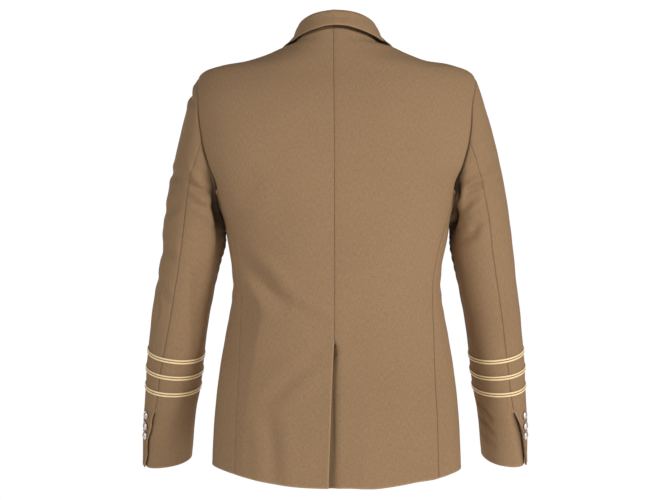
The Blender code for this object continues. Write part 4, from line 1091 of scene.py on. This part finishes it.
CUFF_BUTTON_HEIGHTS = (-0.6060, -0.6240, -0.6400)
CUFF_BUTTON_ANGLE = 37.0        # round the sleeve from its outer side
CUFF_BUTTON_RADIUS = 0.0074
FRONT_BUTTON_HEIGHTS = (-0.3550, -0.4550)
FRONT_BUTTON_RADIUS = 0.0100
BUTTON_FOOT = (0.28, 0.0004)
BUTTON_PROFILE = (
    # width as a share of the radius, and height for a radius of 10 mm, from the shank upwards
    (0.28, 0.0017), (0.93, 0.0017), (1.0, 0.0021), (1.0, 0.0026), (0.95, 0.0030), (0.88, 0.0028),
    (0.84, 0.0028), (0.80, 0.0034), (0.68, 0.0046), (0.52, 0.0055), (0.32, 0.0061), (0.12, 0.0063),
)

silver, tree, shader = new_material("silvered_metal")
place = node(tree, "TexCoord").outputs["Object"]
scuffs = node(tree, "TexNoise", Vector=place, Scale=900.0, Detail=3.0,
              Roughness=0.6).outputs["Fac"]
tarnish = node(tree, "TexNoise", Vector=place, Scale=260.0, Detail=2.0, Roughness=0.5)
tone = ramp(tree, tarnish.outputs["Fac"], (0.35, (0.500, 0.430, 0.400)),
            (0.62, (0.880, 0.800, 0.770)))
plug(tree, shader, Base_Color=tone, Roughness=ranged(tree, scuffs, 0.3, 0.7, 0.34, 0.50),
     Normal=bumped(tree, scuffs, 0.15, 0.0002), Metallic=0.75)


def button(name, radius):
    """Button at the origin that faces up: shank, underside, rolled rim, shoulder and dome."""
    wide, rise = BUTTON_FOOT
    bpy.ops.object.select_all(action="DESELECT")
    bpy.ops.mesh.primitive_circle_add(vertices=48, radius=wide * radius, fill_type="NGON",
                                      location=(0.0, 0.0, rise))
    made = bpy.context.object
    bpy.ops.object.transform_apply(location=True, rotation=False, scale=False)
    bpy.ops.object.mode_set(mode="EDIT")
    bpy.ops.mesh.select_all(action="SELECT")
    for next_wide, next_rise in BUTTON_PROFILE:
        lift = (next_rise - rise) * radius / FRONT_BUTTON_RADIUS
        bpy.ops.mesh.extrude_region_move(TRANSFORM_OT_translate={"value": (0.0, 0.0, lift)})
        ratio = next_wide / wide
        bpy.ops.transform.resize(value=(ratio, ratio, 1.0), center_override=(0.0, 0.0, 0.0))
        rise, wide = next_rise, next_wide
    bpy.ops.mesh.select_all(action="SELECT")
    bpy.ops.mesh.normals_make_consistent(inside=False)
    bpy.ops.object.mode_set(mode="OBJECT")
    smooth = made.modifiers.new("smooth", "SUBSURF")
    smooth.levels = smooth.render_levels = 1
    bpy.ops.object.modifier_apply(modifier="smooth")
    bpy.ops.object.shade_smooth()
    made.name = made.data.name = name + "_dome"
    made.data.materials.append(silver)
    return made


def sewn_on(name, radius, place, outward):
    made = button(name, radius)
    made.rotation_mode = "QUATERNION"
    made.rotation_quaternion = Vector(outward).to_track_quat("Z", "Y")
    made.location = place
    bpy.ops.object.transform_apply(location=True, rotation=True, scale=True)
    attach(made, "root")
    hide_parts(name)


for side in SIDES:
    mirror = np.array((SIDES[side], 1.0, 1.0))
    for number, height in enumerate(CUFF_BUTTON_HEIGHTS, start=1):
        hind = np.degrees(section_angle(side, HIND_MARK - 0.001, height))
        mark = HIND_MARK * CUFF_BUTTON_ANGLE / hind
        along = np.array(sleeve_along(height))
        place, outward = sleeve_point(side, mark, along), sleeve_normal(side, mark, along)
        place = place + outward * sleeve_lift(side, mark, along, place)
        sewn_on("cuff_button_%s_%d" % (side, number), CUFF_BUTTON_RADIUS,
                place * mirror, outward * mirror)
for number, height in enumerate(FRONT_BUTTON_HEIGHTS, start=1):
    turn = turn_at(np.array(0.0), height, False)
    outward = body_normal(turn, height)
    skin = body_point(turn, height)
    lift = FRONT_LIFT + pressed(skin, front_folds) + unevenness(skin)
    sewn_on("front_button_%d" % number, FRONT_BUTTON_RADIUS, skin + outward * lift, outward)


# --- The studio -----------------------------------------------------------------------------------
# A wide white floor well below the blazer, an even white surround, three large soft lights that
# face its back, the strongest on the blazer's right, and two that face its front.

bpy.ops.object.select_all(action="DESELECT")
bpy.ops.mesh.primitive_plane_add(size=3.0, location=(0.0, 0.0, -1.05))
floor = bpy.context.object
floor.name = "floor"
paper, tree, shader = new_material("white_paper")
plug(tree, shader, Base_Color=(0.92, 0.92, 0.92, 1.0), Roughness=0.9)
floor.data.materials.append(paper)

world = bpy.context.scene.world or bpy.data.worlds.new("surround")
bpy.context.scene.world = world
world.use_nodes = True
tree = world.node_tree
plug(tree, tree.nodes["Background"], Strength=0.17, Color=(1.0, 1.0, 1.0, 1.0))
seen = node(tree, "Background", Color=(1.0, 1.0, 1.0, 1.0), Strength=1.02)
split = tree.nodes.new("ShaderNodeMixShader")
tree.links.new(tree.nodes.new("ShaderNodeLightPath").outputs["Is Camera Ray"], split.inputs[0])
tree.links.new(tree.nodes["Background"].outputs[0], split.inputs[1])
tree.links.new(seen.outputs[0], split.inputs[2])
tree.links.new(split.outputs[0], tree.nodes["World Output"].inputs[0])
bpy.context.scene.view_settings.view_transform = "Standard"

for name, place, power, size in (("key", (-2.35, 1.95, 0.30), 58.0, 0.8),
                                 ("fill", (2.6, 1.85, 0.35), 28.0, 0.9),
                                 ("middle", (-0.5, 3.2, 0.20), 26.0, 0.9),
                                 ("front_key", (-0.9, -3.0, 0.40), 56.0, 1.0),
                                 ("front_fill", (1.4, -2.7, 0.30), 32.0, 1.0)):
    bpy.ops.object.light_add(type="AREA", location=place)
    light = bpy.context.object
    light.name = name
    light.data.energy, light.data.size = power, size
    aim = np.array((0.0, 0.0, -0.34)) - np.array(place)
    light.rotation_euler = (math.atan2(math.hypot(aim[0], aim[1]), -aim[2]), 0.0,
                            math.atan2(aim[1], aim[0]) - 0.5 * math.pi)

bpy.ops.object.camera_add(location=(0.0028, 2.2, -0.338),
                          rotation=(0.5 * math.pi, 0.0, math.pi))
camera = bpy.context.object
camera.data.sensor_width = 36.0
camera.data.lens = 72.1
bpy.context.scene.camera = camera
